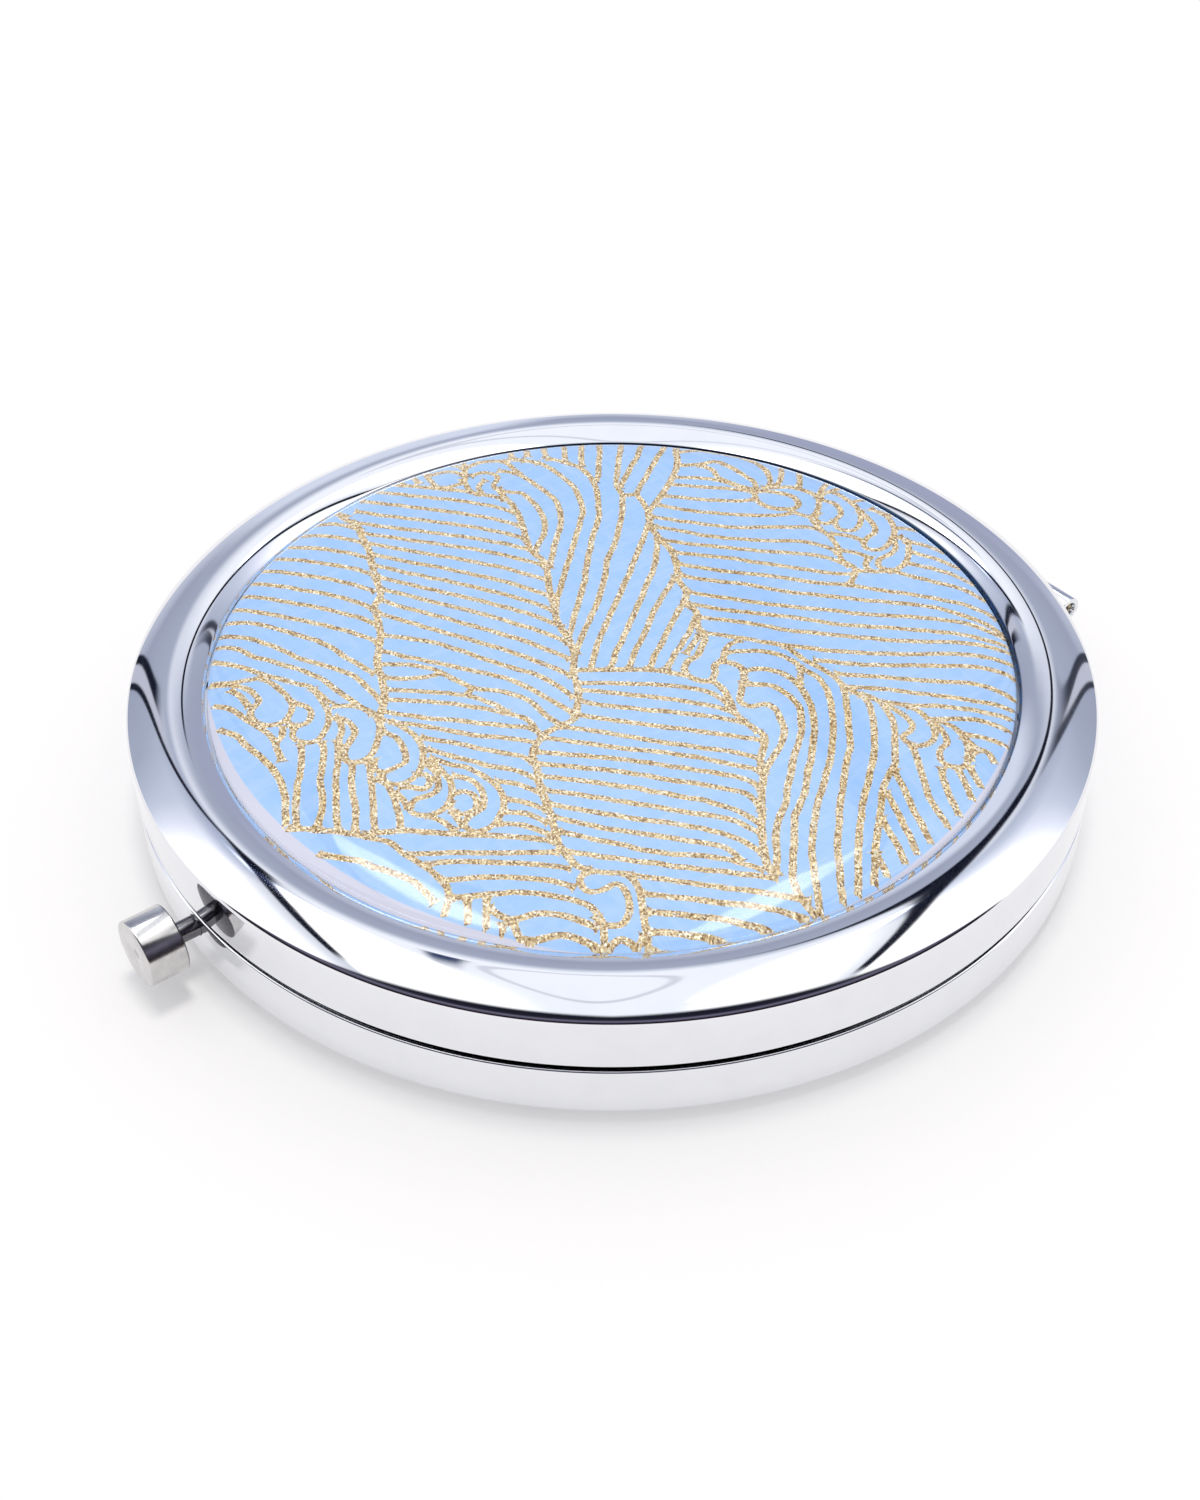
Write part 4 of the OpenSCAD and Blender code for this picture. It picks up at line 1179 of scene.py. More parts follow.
cover = penDown("clearDome", 0, dome["seat"] - dome["sink"])
penAlong((dome["radius"] - dome["footIn"], dome["seat"] - dome["sink"]),
         (dome["radius"], dome["seat"] + dome["footHigh"]), (dome["radius"], dome["seat"] + dome["edge"]))
for step in range(1, dome["shoulderSteps"]):
    angle = math.radians(90 * step / dome["shoulderSteps"])
    radius = flatRadius + dome["shoulder"] * math.cos(angle)
    penTo(radius, dome["seat"] + domeHeight(radius))
for step in range(dome["flatSteps"], -1, -1):
    radius = flatRadius * step / dome["flatSteps"]
    penTo(radius, dome["seat"] + domeHeight(radius))
turnAround(cover, 280)
finishPiece(cover, clearResin, "lid", ["clear_dome"], 40)

repaint("printed_paper", bluePaper)
repaint("insert_film", glueFilm)
print("dome ready")

# gold wave lines on the paper

# The drawing is a traditional rough-wave pattern, laid out in mm about the middle of the
# paper, with +Y away from the camera. Barbs are hatched between two guide lines where they are
# regular, and everything else is drawn line by line.

waves = {
    "line": 0.25,          # half the width of a line
    "ink": 0.016,          # how far the ink stands up from the paper
    "fillet": 0.6,         # how far from its end a line widens into what it meets
    "wander": 0.09,
    "ripple": 0.14,        # share by which a line's width comes and goes
    "step": 0.3,
    "reach": high("printed_paper").x - 0.02,
}

strokes = []


def through(points):  # a smooth path through the given points
    points = [Vector(p) for p in points]
    ends = [points[0]] + points + [points[-1]]
    path = []
    for before, first, second, after in zip(ends, ends[1:], ends[2:], ends[3:]):
        count = max(3, int((second - first).length / waves["step"]) + 1)
        leave, arrive = first + (second - before) / 6, second - (after - first) / 6
        path += interpolate_bezier(first, leave, arrive, second, count)[:-1]
    return path + [points[-1]]


def lengths(path):
    run = [0.0]
    for first, second in zip(path, path[1:]):
        run.append(run[-1] + (second - first).length)
    return run


def atShare(path, share):
    run = lengths(path)
    wanted = share * run[-1]
    for place in range(1, len(run)):
        if run[place] >= wanted:
            part = (wanted - run[place - 1]) / max(1e-9, run[place] - run[place - 1])
            return path[place - 1].lerp(path[place], part)
    return path[-1].copy()


def wandered(point, seed):
    sway = noise.noise(Vector((point.x * 0.9, point.y * 0.9, seed)))
    swayUp = noise.noise(Vector((point.x * 0.9 + 31, point.y * 0.9, seed)))
    return point + Vector((sway, swayUp)) * waves["wander"]


def inkPath(path, width=1.0):
    count = max(2, int(lengths(path)[-1] / waves["step"]))
    seed = len(strokes) * 0.37
    path = [wandered(atShare(path, place / count), seed) for place in range(count + 1)]
    ends = [((0, 0), waves["reach"])] + [(centre, reach - 0.15) for centre, reach in printEdges]
    inside = [all((point - Vector(centre)).length <= reach for centre, reach in ends) for point in path]
    if True not in inside:
        return
    start = inside.index(True)
    end = len(inside) - inside[::-1].index(True)
    kept = path[max(0, start - 1):end + 1]
    for centre, reach in ends:
        middle = Vector(centre)
        kept = [middle + (p - middle) * min(1, reach / max(reach, (p - middle).length)) for p in kept]
    strokes.append((kept, waves["line"] * width, (start == 0, end == len(path))))


def inkLine(*points, width=1.0):
    inkPath(through(points), width)


def hatch(left, right, count, lift, drop):  # barbs from one guide line to the other
    leftPath, rightPath = through(left), through(right)
    for place in range(count):
        share = (place + 0.5) / count
        start, end = atShare(leftPath, share), atShare(rightPath, share)
        chord = end - start
        across = Vector((-chord.y, chord.x)).normalized()
        leave = start + chord * 0.35 + across * lift
        arrive = end - chord * 0.28 + across * drop
        inkPath(interpolate_bezier(start, leave, arrive, end, 24))


leftSpine = [(-22.6, 20.4), (-21.3, 18.0), (-20.1, 16.8), (-19.6, 15.3), (-18.9, 13.5), (-18.6, 12.0),
             (-18.0, 9.6), (-17.5, 7.8), (-17.8, 6.0), (-17.2, 3.6), (-17.0, 1.4), (-17.1, -0.4),
             (-16.7, -1.9), (-16.3, -3.4), (-16.1, -5.1), (-16.3, -6.6), (-16.0, -8.4)]
midSpine = [(-9.3, 22.4), (-8.5, 20.6), (-7.9, 19.8), (-7.1, 17.0), (-6.7, 15.0), (-6.1, 13.1),
            (-5.1, 11.7), (-4.8, 9.0), (-4.4, 6.6), (-4.1, 4.5), (-3.2, 2.0), (-2.7, 0.2), (-2.7, -2.1),
            (-2.4, -3.9), (-2.4, -5.6), (-2.6, -7.1), (-3.6, -7.9), (-4.7, -8.8), (-5.4, -10.7),
            (-5.1, -12.4), (-4.7, -14.6), (-4.1, -16.9), (-3.6, -19.1), (-3.2, -20.4), (-2.4, -21.6),
            (-1.5, -22.3)]
rightSpine = [(5.4, 29.5), (5.4, 27.6), (5.5, 25.7), (5.0, 23.8), (4.3, 21.6), (3.5, 19.9), (3.0, 18.6),
              (3.2, 16.7), (3.8, 15.0), (4.6, 13.5), (5.0, 11.8), (5.1, 9.6), (5.7, 7.9), (5.6, 6.4),
              (6.4, 5.4), (6.4, 3.6), (6.9, 2.1), (6.6, 1.1), (6.2, 0.0), (5.5, -0.6), (5.3, -1.9),
              (6.2, -2.8), (7.1, -2.8), (7.5, -1.9), (7.4, -1.1), (8.1, -0.6), (9.2, -1.1), (9.5, -1.9),
              (9.5, -3.0)]
crestSpine = [(7.1, -2.8), (7.6, -3.3), (8.2, -4.3), (8.6, -6.2), (9.2, -7.3), (10.3, -8.6), (10.6, -9.4),
              (10.2, -11.6), (10.3, -12.9), (10.1, -14.6), (10.0, -16.3), (9.9, -18.2), (9.9, -20.6),
              (10.1, -22.1), (10.7, -22.8)]
for spine in (leftSpine, midSpine, rightSpine, crestSpine):
    inkLine(*spine, width=1.12)

# long barbs to the left and to the right of the left spine
hatch([(-23.4, 19.4), (-25.6, 16.3), (-27.4, 13.0), (-28.9, 9.4), (-29.9, 5.8)],
      [(-21.6, 18.8), (-20.1, 16.8), (-18.9, 13.5), (-18.0, 9.6), (-17.8, 6.0), (-17.2, 3.6),
       (-17.0, 0.6)], 9, 0.1, 1.0)
inkLine((-29.7, 4.5), (-27.0, 4.2), (-24.0, 3.1), (-21.0, 1.5), (-19.1, -0.3), (-17.0, -2.0))
inkLine((-29.7, 3.0), (-27.0, 2.4), (-24.6, 1.2), (-22.9, 0.0), (-21.0, -0.9), (-19.3, -1.7), (-18.0, -2.8),
        (-16.9, -4.3), (-16.2, -5.1))
inkLine((-29.7, 1.6), (-27.6, 1.2), (-26.1, 0.1), (-24.4, -0.6), (-22.5, -1.5), (-20.8, -2.6),
        (-19.3, -4.1), (-18.0, -5.4), (-16.7, -6.6))
inkLine((-29.5, 0.3), (-28.7, -0.2), (-26.8, -1.1), (-24.9, -2.1), (-22.7, -3.0), (-21.4, -3.6),
        (-19.9, -5.4))
inkLine((-24.9, -2.1), (-26.1, -2.6), (-27.9, -2.9), (-29.5, -2.4))
hatch([(-17.7, 23.4), (-19.5, 21.9), (-20.7, 18.0), (-19.6, 15.3), (-18.6, 12.0), (-17.6, 7.8),
       (-17.7, 4.6)],
      [(-9.2, 21.2), (-7.9, 19.4), (-6.8, 15.4), (-5.1, 11.7), (-4.4, 6.6), (-3.2, 2.0), (-2.7, -3.4)],
      13, 0.1, 1.0)
inkLine((-17.0, 2.6), (-13.5, 1.8), (-10.8, 0.6), (-7.5, -1.2), (-5.4, -2.1), (-4.1, -3.2), (-2.6, -4.8))
inkLine((-17.1, 0.8), (-14.6, -0.1), (-12.2, -0.9), (-9.9, -1.7), (-7.5, -2.6), (-5.4, -4.1),
        (-3.6, -5.6), (-2.6, -6.6))
inkLine((-16.9, -0.9), (-15.0, -0.9), (-13.3, -1.3), (-12.2, -1.9), (-11.1, -2.8), (-9.9, -3.6),
        (-7.7, -4.1), (-5.8, -5.1), (-4.7, -6.6), (-3.6, -7.8))
inkLine((-16.5, -2.4), (-14.6, -2.5), (-13.1, -2.3), (-12.2, -1.9))
inkLine((-16.1, -3.8), (-12.9, -4.1), (-10.3, -4.5), (-8.4, -5.4), (-7.3, -6.4))
inkLine((-9.9, -3.6), (-10.3, -4.5))
inkLine((-16.1, -4.9), (-13.3, -5.1), (-10.7, -5.5), (-7.9, -6.3), (-6.0, -7.1), (-5.2, -8.4), (-4.8, -9.0))
inkLine((-16.2, -6.2), (-13.3, -6.9), (-10.7, -7.3), (-7.5, -7.8), (-5.4, -8.1))
inkLine((-15.6, -7.3), (-12.9, -7.9), (-10.7, -8.5), (-8.6, -9.0), (-6.4, -9.3), (-5.0, -9.7))
inkLine((-13.3, -9.1), (-10.7, -9.7), (-8.6, -10.4), (-6.6, -10.9), (-5.3, -11.7))
inkLine((-12.8, -10.3), (-10.7, -11.1), (-8.6, -12.0), (-6.4, -12.6), (-4.9, -13.6))
inkLine((-8.0, -13.7), (-6.4, -13.9), (-4.6, -14.9))
inkLine((-7.2, -15.4), (-5.6, -15.8), (-4.3, -16.5))
inkLine((-7.2, -16.7), (-5.6, -16.9), (-4.1, -17.8))
inkLine((-7.5, -17.8), (-5.6, -18.1), (-3.8, -19.0))

# curled crests down the left
inkLine((-28.7, -2.9), (-26.4, -3.4), (-25.3, -4.5), (-25.0, -5.1), (-25.5, -6.2), (-24.9, -7.4),
        (-23.8, -7.7), (-22.9, -7.1), (-22.6, -5.8), (-23.1, -4.5), (-24.2, -3.2), (-25.1, -2.4))
inkLine((-27.2, -3.6), (-26.3, -4.6), (-25.6, -5.7))
inkLine((-22.6, -5.3), (-21.6, -5.6), (-21.1, -6.6), (-21.4, -7.5), (-22.1, -7.9), (-22.2, -8.8),
        (-21.4, -9.5), (-20.4, -9.3), (-19.9, -8.1), (-19.9, -6.4), (-20.6, -4.9), (-21.4, -3.6))
inkLine((-22.9, -7.1), (-22.2, -7.8))
inkLine((-19.8, -5.6), (-18.0, -5.7), (-16.7, -6.6), (-16.1, -8.1), (-16.3, -9.9), (-16.9, -11.4),
        (-18.0, -11.6), (-18.4, -10.8), (-18.1, -9.4), (-17.9, -8.5), (-18.4, -7.4), (-19.6, -6.8),
        width=1.05)
inkLine((-19.2, -7.0), (-18.8, -8.2), (-18.9, -9.6), (-18.3, -10.2))
inkLine((-16.0, -8.5), (-15.0, -9.0), (-14.3, -10.3), (-14.1, -11.6), (-14.8, -12.2), (-15.6, -12.9),
        (-15.2, -13.8), (-14.1, -13.9), (-13.3, -13.1), (-12.9, -11.6), (-13.1, -9.9), (-13.9, -8.6),
        (-15.2, -7.5), (-16.2, -7.1))
inkLine((-16.3, -11.2), (-16.1, -12.4), (-15.5, -12.8))
inkLine((-12.8, -11.6), (-11.9, -12.9), (-11.7, -14.4), (-12.2, -15.0), (-13.1, -15.4), (-13.5, -16.3),
        (-12.9, -17.0), (-11.8, -16.9), (-10.9, -15.9), (-10.8, -14.1), (-11.5, -12.6), (-12.7, -11.3))
inkLine((-13.5, -13.0), (-12.7, -12.9), (-12.2, -13.6), (-12.6, -14.4), (-13.6, -14.2), (-14.4, -14.1),
        width=1.1)
inkLine((-10.9, -13.1), (-9.4, -13.6), (-8.6, -15.0), (-8.6, -16.3), (-9.4, -17.1), (-9.8, -18.0),
        (-9.0, -18.6), (-7.9, -18.1), (-7.3, -16.7), (-7.3, -15.0), (-8.2, -13.5), (-9.9, -12.2),
        (-11.1, -11.9), (-12.6, -11.2))
inkLine((-10.8, -14.9), (-9.9, -14.7), (-9.1, -15.3), (-9.1, -16.4), (-9.9, -16.9), (-10.6, -16.5),
        (-10.8, -15.6))
inkLine((-12.2, -17.0), (-11.0, -17.7), (-10.2, -18.6))
inkLine((-10.6, -16.6), (-10.1, -17.5), (-9.8, -18.3))

# upright fingers under them, on a line that runs on to the middle
for upright in ([(-21.5, -9.7), (-21.2, -12.0), (-21.2, -14.6), (-20.8, -18.0)],
                [(-20.1, -9.4), (-19.8, -11.1), (-19.7, -13.7), (-19.3, -16.3), (-19.4, -18.1)],
                [(-19.0, -9.2), (-18.8, -11.1), (-18.6, -14.1), (-18.3, -16.7), (-18.0, -18.5)],
                [(-17.7, -11.7), (-17.6, -13.7), (-17.1, -16.3), (-16.9, -18.7)],
                [(-16.7, -11.5), (-16.3, -13.3), (-16.0, -15.6), (-15.6, -18.6)],
                [(-16.1, -13.3), (-15.0, -14.2), (-14.3, -16.3), (-13.9, -18.5)],
                [(-14.6, -14.6), (-13.9, -15.6), (-13.5, -16.4)]):
    inkLine(*upright)
inkLine((-23.0, -17.9), (-21.0, -18.0), (-19.3, -18.3), (-17.8, -18.6), (-16.3, -19.0), (-14.6, -19.6),
        (-13.3, -20.8), (-12.0, -21.9), (-10.9, -23.1), (-10.3, -24.8), (-11.0, -27.6))
inkLine((-16.3, -18.9), (-13.9, -18.5), (-10.7, -18.8), (-8.6, -18.9), (-6.4, -19.1), (-3.7, -19.5),
        width=1.1)
inkLine((-29.4, -4.8), (-27.2, -5.6), (-25.7, -6.9), (-24.4, -8.1), (-23.4, -9.4), (-22.6, -11.6))
inkLine((-23.0, -7.7), (-22.9, -9.0), (-23.3, -9.5))
inkLine((-29.3, -6.2), (-27.4, -7.7), (-25.9, -8.8), (-24.9, -10.1), (-23.6, -11.6), (-22.5, -13.3),
        (-21.8, -15.4), (-21.5, -17.9))
inkLine((-28.4, -8.8), (-26.6, -10.5), (-25.5, -12.0), (-24.6, -13.4), (-23.9, -15.4), (-23.8, -17.2))
inkLine((-28.0, -10.6), (-26.4, -12.9), (-25.6, -15.2))
inkLine((-13.3, -20.8), (-10.7, -20.6), (-8.6, -20.6), (-6.4, -20.6), (-3.4, -20.5))
inkLine((-12.0, -21.7), (-10.7, -21.4), (-7.9, -21.5), (-5.4, -21.6), (-2.6, -22.1))
inkLine((-10.9, -23.1), (-8.6, -22.9), (-6.4, -22.9), (-4.3, -23.1), (-2.3, -23.8))
inkLine((-10.2, -24.6), (-7.9, -24.4), (-6.0, -24.2), (-3.9, -24.5), (-1.6, -25.3), (-0.6, -26.6),
        (-0.4, -28.9))
inkLine((-7.8, -25.4), (-6.4, -26.4), (-4.3, -26.0), (-2.4, -26.4), (-0.8, -27.2))
inkLine((-6.2, -26.6), (-5.4, -27.9), (-3.2, -27.6), (-1.5, -28.1), (-0.4, -28.9))
for upright in ([(-9.1, -24.6), (-9.0, -28.4)], [(-7.9, -24.5), (-7.8, -28.6)],
                [(-6.8, -26.5), (-6.7, -28.6)], [(-5.4, -27.9), (-5.2, -29.5)]):
    inkLine(*upright)
inkLine((-19.6, -20.0), (-18.4, -20.6), (-16.3, -21.2), (-15.0, -21.9), (-13.5, -22.6), (-12.2, -23.6),
        (-11.1, -25.0))
inkLine((-18.6, -22.4), (-16.6, -23.2), (-14.6, -24.4), (-13.0, -26.2))

# short lines and small curls at the far left edge
for spike in ([(-17.9, 24.6), (-16.8, 22.6)], [(-16.7, 25.2), (-15.6, 22.8)],
              [(-15.5, 26.0), (-15.0, 23.9), (-14.1, 22.3)], [(-12.6, 27.4), (-12.0, 25.4)],
              [(-8.5, 28.9), (-8.2, 26.6)], [(-7.2, 29.3), (-6.9, 26.8)], [(-5.7, 29.5), (-5.4, 26.6)],
              [(-4.0, 29.5), (-3.8, 26.0)], [(-2.5, 29.5), (-2.4, 25.4)],
              [(-1.0, 29.5), (-1.0, 25.0), (-1.3, 23.0)]):
    inkLine(*spike)
inkLine((-14.9, 24.2), (-13.2, 24.7), (-12.0, 24.0), (-12.3, 22.9), (-13.8, 22.2))
inkLine((-13.9, 26.4), (-12.2, 25.3), (-10.8, 26.1), (-9.0, 26.3), (-7.4, 26.4), (-6.0, 26.0))
inkLine((-12.1, 25.2), (-12.0, 23.9))
inkLine((-11.6, 24.0), (-10.5, 24.6), (-9.3, 24.0), (-9.6, 22.5), (-8.4, 21.7), (-7.2, 21.4), (-6.0, 19.6),
        (-5.3, 17.5), (-5.3, 15.6), (-5.8, 14.0), (-6.1, 13.1))
inkLine((-12.2, 23.7), (-11.4, 21.8), (-10.4, 21.2), (-10.8, 22.5), (-10.2, 23.5))
inkLine((-9.4, 24.9), (-7.6, 24.3), (-6.0, 22.5), (-4.5, 20.4), (-4.0, 18.0), (-4.3, 15.0), (-4.8, 11.0))
inkLine((-8.9, 26.3), (-7.9, 25.0), (-7.6, 24.3))
inkLine((-7.4, 26.4), (-6.0, 26.0), (-4.5, 24.6), (-3.0, 22.2), (-2.3, 19.2), (-2.7, 15.6), (-3.3, 12.0),
        (-3.9, 8.4), (-4.2, 5.2))
inkLine((-5.4, 26.7), (-3.8, 26.1), (-2.3, 24.9), (-1.3, 22.6), (-1.0, 18.0), (-1.6, 14.4), (-2.1, 9.0),
        (-2.8, 4.5), (-3.2, 1.8))

# the two sheaves of the middle
inkLine((0.9, 29.5), (0.6, 25.7), (0.4, 23.1), (0.9, 21.0), (0.8, 18.0), (0.3, 14.5), (-0.3, 12.0),
        (-0.6, 9.0), (-1.2, 6.0), (-2.0, 3.0), (-2.6, 0.2))
inkLine((2.8, 29.5), (2.0, 26.4), (1.1, 23.6), (0.7, 22.2))
inkLine((4.7, 29.0), (3.6, 26.1), (2.8, 23.6), (2.1, 21.4), (2.6, 20.1), (3.0, 18.6), (2.8, 16.3),
        (2.2, 13.7), (1.6, 11.1), (0.9, 8.6), (0.2, 6.0), (-0.5, 3.5), (-1.1, 1.0), (-1.5, -1.6))
inkLine((0.9, 21.1), (2.2, 21.3))
inkLine((3.7, 15.0), (3.4, 11.8), (2.8, 9.0), (1.9, 5.8), (1.1, 3.0), (0.3, 0.2), (-0.1, -1.6))
inkLine((5.0, 9.9), (4.1, 7.9), (3.2, 5.4), (2.4, 2.6), (1.6, 0.2), (1.3, -1.5))
inkLine((5.6, 6.7), (4.9, 5.1), (4.1, 2.8), (3.2, 0.1), (2.7, -1.5))
inkLine((6.4, 4.6), (5.8, 3.0), (5.0, 1.0), (4.4, -0.4), (4.0, -1.6))
inkLine((6.6, 2.6), (6.0, 1.4), (5.4, 0.2))
inkLine((-2.7, -1.6), (0.0, -1.6), (2.7, -1.6), (4.6, -2.0), (5.6, -2.2), width=1.1)

# barbs between the middle spine and the tall crest
inkLine((-2.5, -3.1), (0.0, -3.1), (4.7, -3.5), (7.1, -4.3), (8.5, -5.8))
inkLine((-2.4, -3.9), (0.0, -4.2), (4.3, -5.0), (7.1, -5.7), (8.6, -6.4), (9.2, -7.4))
inkLine((-2.4, -5.1), (0.0, -5.7), (5.4, -6.6), (9.0, -7.4), (10.3, -8.6))
inkLine((-2.5, -6.6), (0.0, -7.2), (4.3, -8.1), (8.6, -9.0), (10.5, -9.5))
inkLine((-3.5, -7.9), (0.0, -8.7), (4.3, -9.8), (8.6, -10.7), (10.3, -11.4))
inkLine((-4.8, -9.1), (0.0, -10.1), (5.4, -11.1), (10.2, -12.6))
inkLine((-5.2, -10.6), (0.0, -11.3), (4.3, -12.2), (8.6, -13.3), (10.1, -14.5))
inkLine((-5.2, -11.8), (0.0, -12.6), (4.3, -13.6), (8.1, -14.5), (9.4, -15.3), (10.0, -16.6))
inkLine((-5.0, -13.1), (0.0, -14.0), (3.2, -14.8), (7.5, -16.1), (9.9, -17.9))
inkLine((-4.7, -14.5), (0.0, -15.5), (4.3, -16.6), (7.9, -17.5), (9.9, -18.9))
inkLine((-4.3, -15.9), (0.0, -17.0), (4.3, -17.9), (7.9, -19.1), (9.8, -20.7))
inkLine((-4.0, -17.2), (0.0, -18.4), (4.3, -19.3), (7.3, -20.1), (8.4, -21.4))
inkLine((-3.6, -18.6), (0.0, -19.7), (3.2, -20.6), (7.1, -21.1), (9.9, -22.2))
inkLine((-3.2, -20.4), (0.0, -21.1), (4.3, -21.9), (9.6, -22.8), (10.7, -23.0))
inkLine((-1.5, -22.3), (1.1, -22.6), (5.4, -23.5), (9.6, -24.2), (12.6, -24.7))
inkLine((1.9, -24.3), (6.0, -25.0), (9.6, -25.4), (13.0, -26.2))
inkLine((2.2, -25.9), (5.4, -26.2), (8.6, -26.7), (11.0, -27.4))
inkLine((2.2, -27.4), (5.4, -27.6), (8.0, -28.2))
inkLine((2.3, -28.6), (4.4, -28.8))
inkLine((-1.5, -22.3), (-2.1, -23.2), (-1.5, -24.2), (-0.4, -23.9), (0.4, -23.4), (1.0, -24.6),
        (1.1, -26.0), (0.5, -26.9), (-0.5, -26.9), (-1.0, -26.2))
inkLine((1.0, -22.6), (1.7, -23.8), (1.9, -25.4), (2.2, -27.4), (2.3, -29.2))
inkLine((-0.4, -28.7), (0.6, -27.9), (1.6, -28.4), (2.1, -27.6))

# the tall crest that curls over to the left
inkLine((9.5, -3.0), (9.2, -4.3), (9.1, -5.2), (9.8, -5.8), (11.0, -5.5), (11.7, -6.4), (12.0, -8.2),
        (11.7, -10.0), (10.8, -11.7), (10.3, -12.9), width=1.05)
inkLine((9.5, -3.2), (11.4, -3.4), (12.6, -4.5), (13.3, -6.2), (13.2, -8.6), (12.6, -10.7), (12.0, -13.7),
        (11.6, -15.9), (10.9, -18.2), (10.7, -20.6), (10.6, -22.8), width=1.05)
inkLine((9.5, -1.7), (11.1, -1.5), (12.4, -2.1), (13.5, -3.6), (14.1, -5.6), (14.1, -8.6), (13.5, -12.0),
        (12.9, -15.0), (12.2, -17.1), (11.8, -20.6), (11.6, -23.1), (12.2, -24.9), (13.4, -26.2),
        width=1.05)
inkLine((8.1, -0.6), (8.5, 1.1), (9.5, 1.9))
inkLine((8.3, 0.4), (9.7, 0.6), (11.4, 0.5), (12.7, -0.2), (13.6, -1.4), (13.4, -3.3))
inkLine((13.6, -1.3), (15.0, -2.8), (15.5, -4.9), (15.5, -7.3), (15.3, -9.6), (14.6, -12.9), (13.9, -15.4),
        (13.3, -18.2), (13.0, -21.4), (13.1, -26.4))
inkLine((12.7, 1.2), (14.0, -0.4), (15.2, -1.5), (16.2, -2.6), (16.6, -4.3), (16.6, -7.1), (16.4, -10.3),
        (15.7, -13.7), (15.1, -17.1), (14.7, -20.4), (14.5, -25.6))
inkLine((16.5, -3.6), (18.0, -4.9), (18.3, -6.9), (18.1, -10.3), (17.4, -13.5), (16.7, -16.3),
        (16.1, -19.9), (15.4, -25.2))
inkLine((17.1, -4.1), (18.9, -5.1), (19.7, -7.5), (19.6, -9.6), (19.3, -12.0), (18.4, -14.1), (17.8, -17.1),
        (17.1, -20.4), (16.5, -24.6))
for branch in ([(19.2, -12.4), (19.8, -15.0), (20.4, -17.8), (21.2, -20.6)],
               [(18.4, -14.6), (19.2, -17.6), (20.0, -21.6)],
               [(17.8, -17.2), (18.4, -19.3), (19.3, -22.4)], [(17.1, -20.4), (17.9, -23.4)],
               [(20.8, -10.0), (21.1, -13.3), (21.4, -15.9), (22.4, -18.6)],
               [(22.5, -12.2), (22.5, -14.6), (23.2, -17.4)], [(23.5, -12.2), (24.2, -15.9)],
               [(24.3, -11.9), (25.0, -14.7)]):
    inkLine(*branch)
inkLine((19.2, -5.4), (20.4, -6.6), (21.0, -7.7), (20.7, -8.5), (20.2, -8.9), (20.4, -9.6), (21.2, -10.0),
        (22.1, -9.6), (22.5, -8.6), (22.3, -7.3), (21.7, -6.4), (20.9, -5.7), (19.2, -5.2), (17.6, -4.4))
inkLine((22.3, -7.4), (22.9, -8.1), (23.2, -9.2), (23.1, -9.9), (22.6, -10.4), (22.5, -11.4), (22.9, -12.1),
        (24.0, -12.0), (24.5, -10.7), (24.4, -9.0), (23.8, -7.9), (22.6, -7.2))
inkLine((24.3, -9.0), (25.1, -10.2), (25.8, -10.6), (26.3, -12.4))
inkLine((24.4, -11.4), (25.0, -10.3))

# barbs of the right-hand wave, the last ones bending down to the edge
inkLine((5.0, 23.8), (7.1, 23.7), (8.6, 23.4), (9.6, 22.9), (11.3, 21.9))
inkLine((4.7, 22.8), (7.1, 22.4), (9.6, 22.1), (11.4, 21.8))
inkLine((4.2, 21.1), (7.5, 20.5), (10.3, 20.3), (11.7, 20.6))
inkLine((3.6, 19.8), (6.4, 18.9), (10.3, 18.3), (13.3, 18.2), (14.6, 18.7))
inkLine((3.2, 18.0), (6.9, 17.1), (10.1, 16.5), (13.7, 16.6), (15.8, 16.5), (16.6, 16.2))
inkLine((3.4, 16.7), (7.1, 15.5), (10.7, 14.8), (14.6, 14.6), (16.7, 13.9), (17.7, 12.9))
inkLine((4.0, 14.7), (7.5, 14.0), (10.7, 13.4), (14.6, 12.9), (17.0, 12.3), (18.5, 11.1))
inkLine((4.8, 13.1), (7.1, 12.7), (10.3, 12.0), (13.9, 11.1), (17.0, 10.3), (18.7, 10.2))
inkLine((5.1, 11.6), (8.6, 10.6), (12.0, 10.0), (15.0, 9.2), (18.2, 8.7), (20.4, 8.1), (23.1, 7.5),
        (25.7, 6.6), (27.9, 5.4), (29.3, 3.6))
inkLine((5.2, 10.1), (6.4, 9.6), (9.6, 9.0), (13.9, 7.8), (19.3, 6.8), (23.6, 6.1), (26.1, 5.0),
        (28.1, 3.6), (29.5, 1.7))
inkLine((5.7, 7.9), (8.6, 7.1), (12.0, 6.3), (16.1, 5.6), (19.3, 5.0), (23.6, 4.6), (26.4, 3.9),
        (29.4, 2.0))
inkLine((5.7, 6.4), (8.6, 5.6), (12.9, 4.8), (17.1, 3.8), (21.4, 3.3), (25.7, 2.6), (29.5, 1.2))
inkLine((6.4, 4.7), (9.6, 4.1), (13.3, 3.1), (17.1, 2.4), (21.4, 1.8), (25.7, 1.6), (29.5, 0.6))
inkLine((6.7, 2.9), (9.6, 2.1), (12.7, 1.3), (17.1, 0.5), (21.4, 0.2), (25.7, 0.2), (29.5, -0.8))
inkLine((14.6, -0.5), (18.2, -1.0), (21.4, -1.1), (25.7, -1.2), (27.9, -1.7), (29.5, -2.8))
inkLine((16.0, -2.1), (19.3, -2.4), (22.0, -2.8), (25.7, -3.2), (27.6, -4.0), (29.3, -5.4))
inkLine((16.5, -3.5), (19.3, -3.8), (22.5, -4.4), (25.7, -5.1), (28.0, -5.8), (29.4, -7.0))
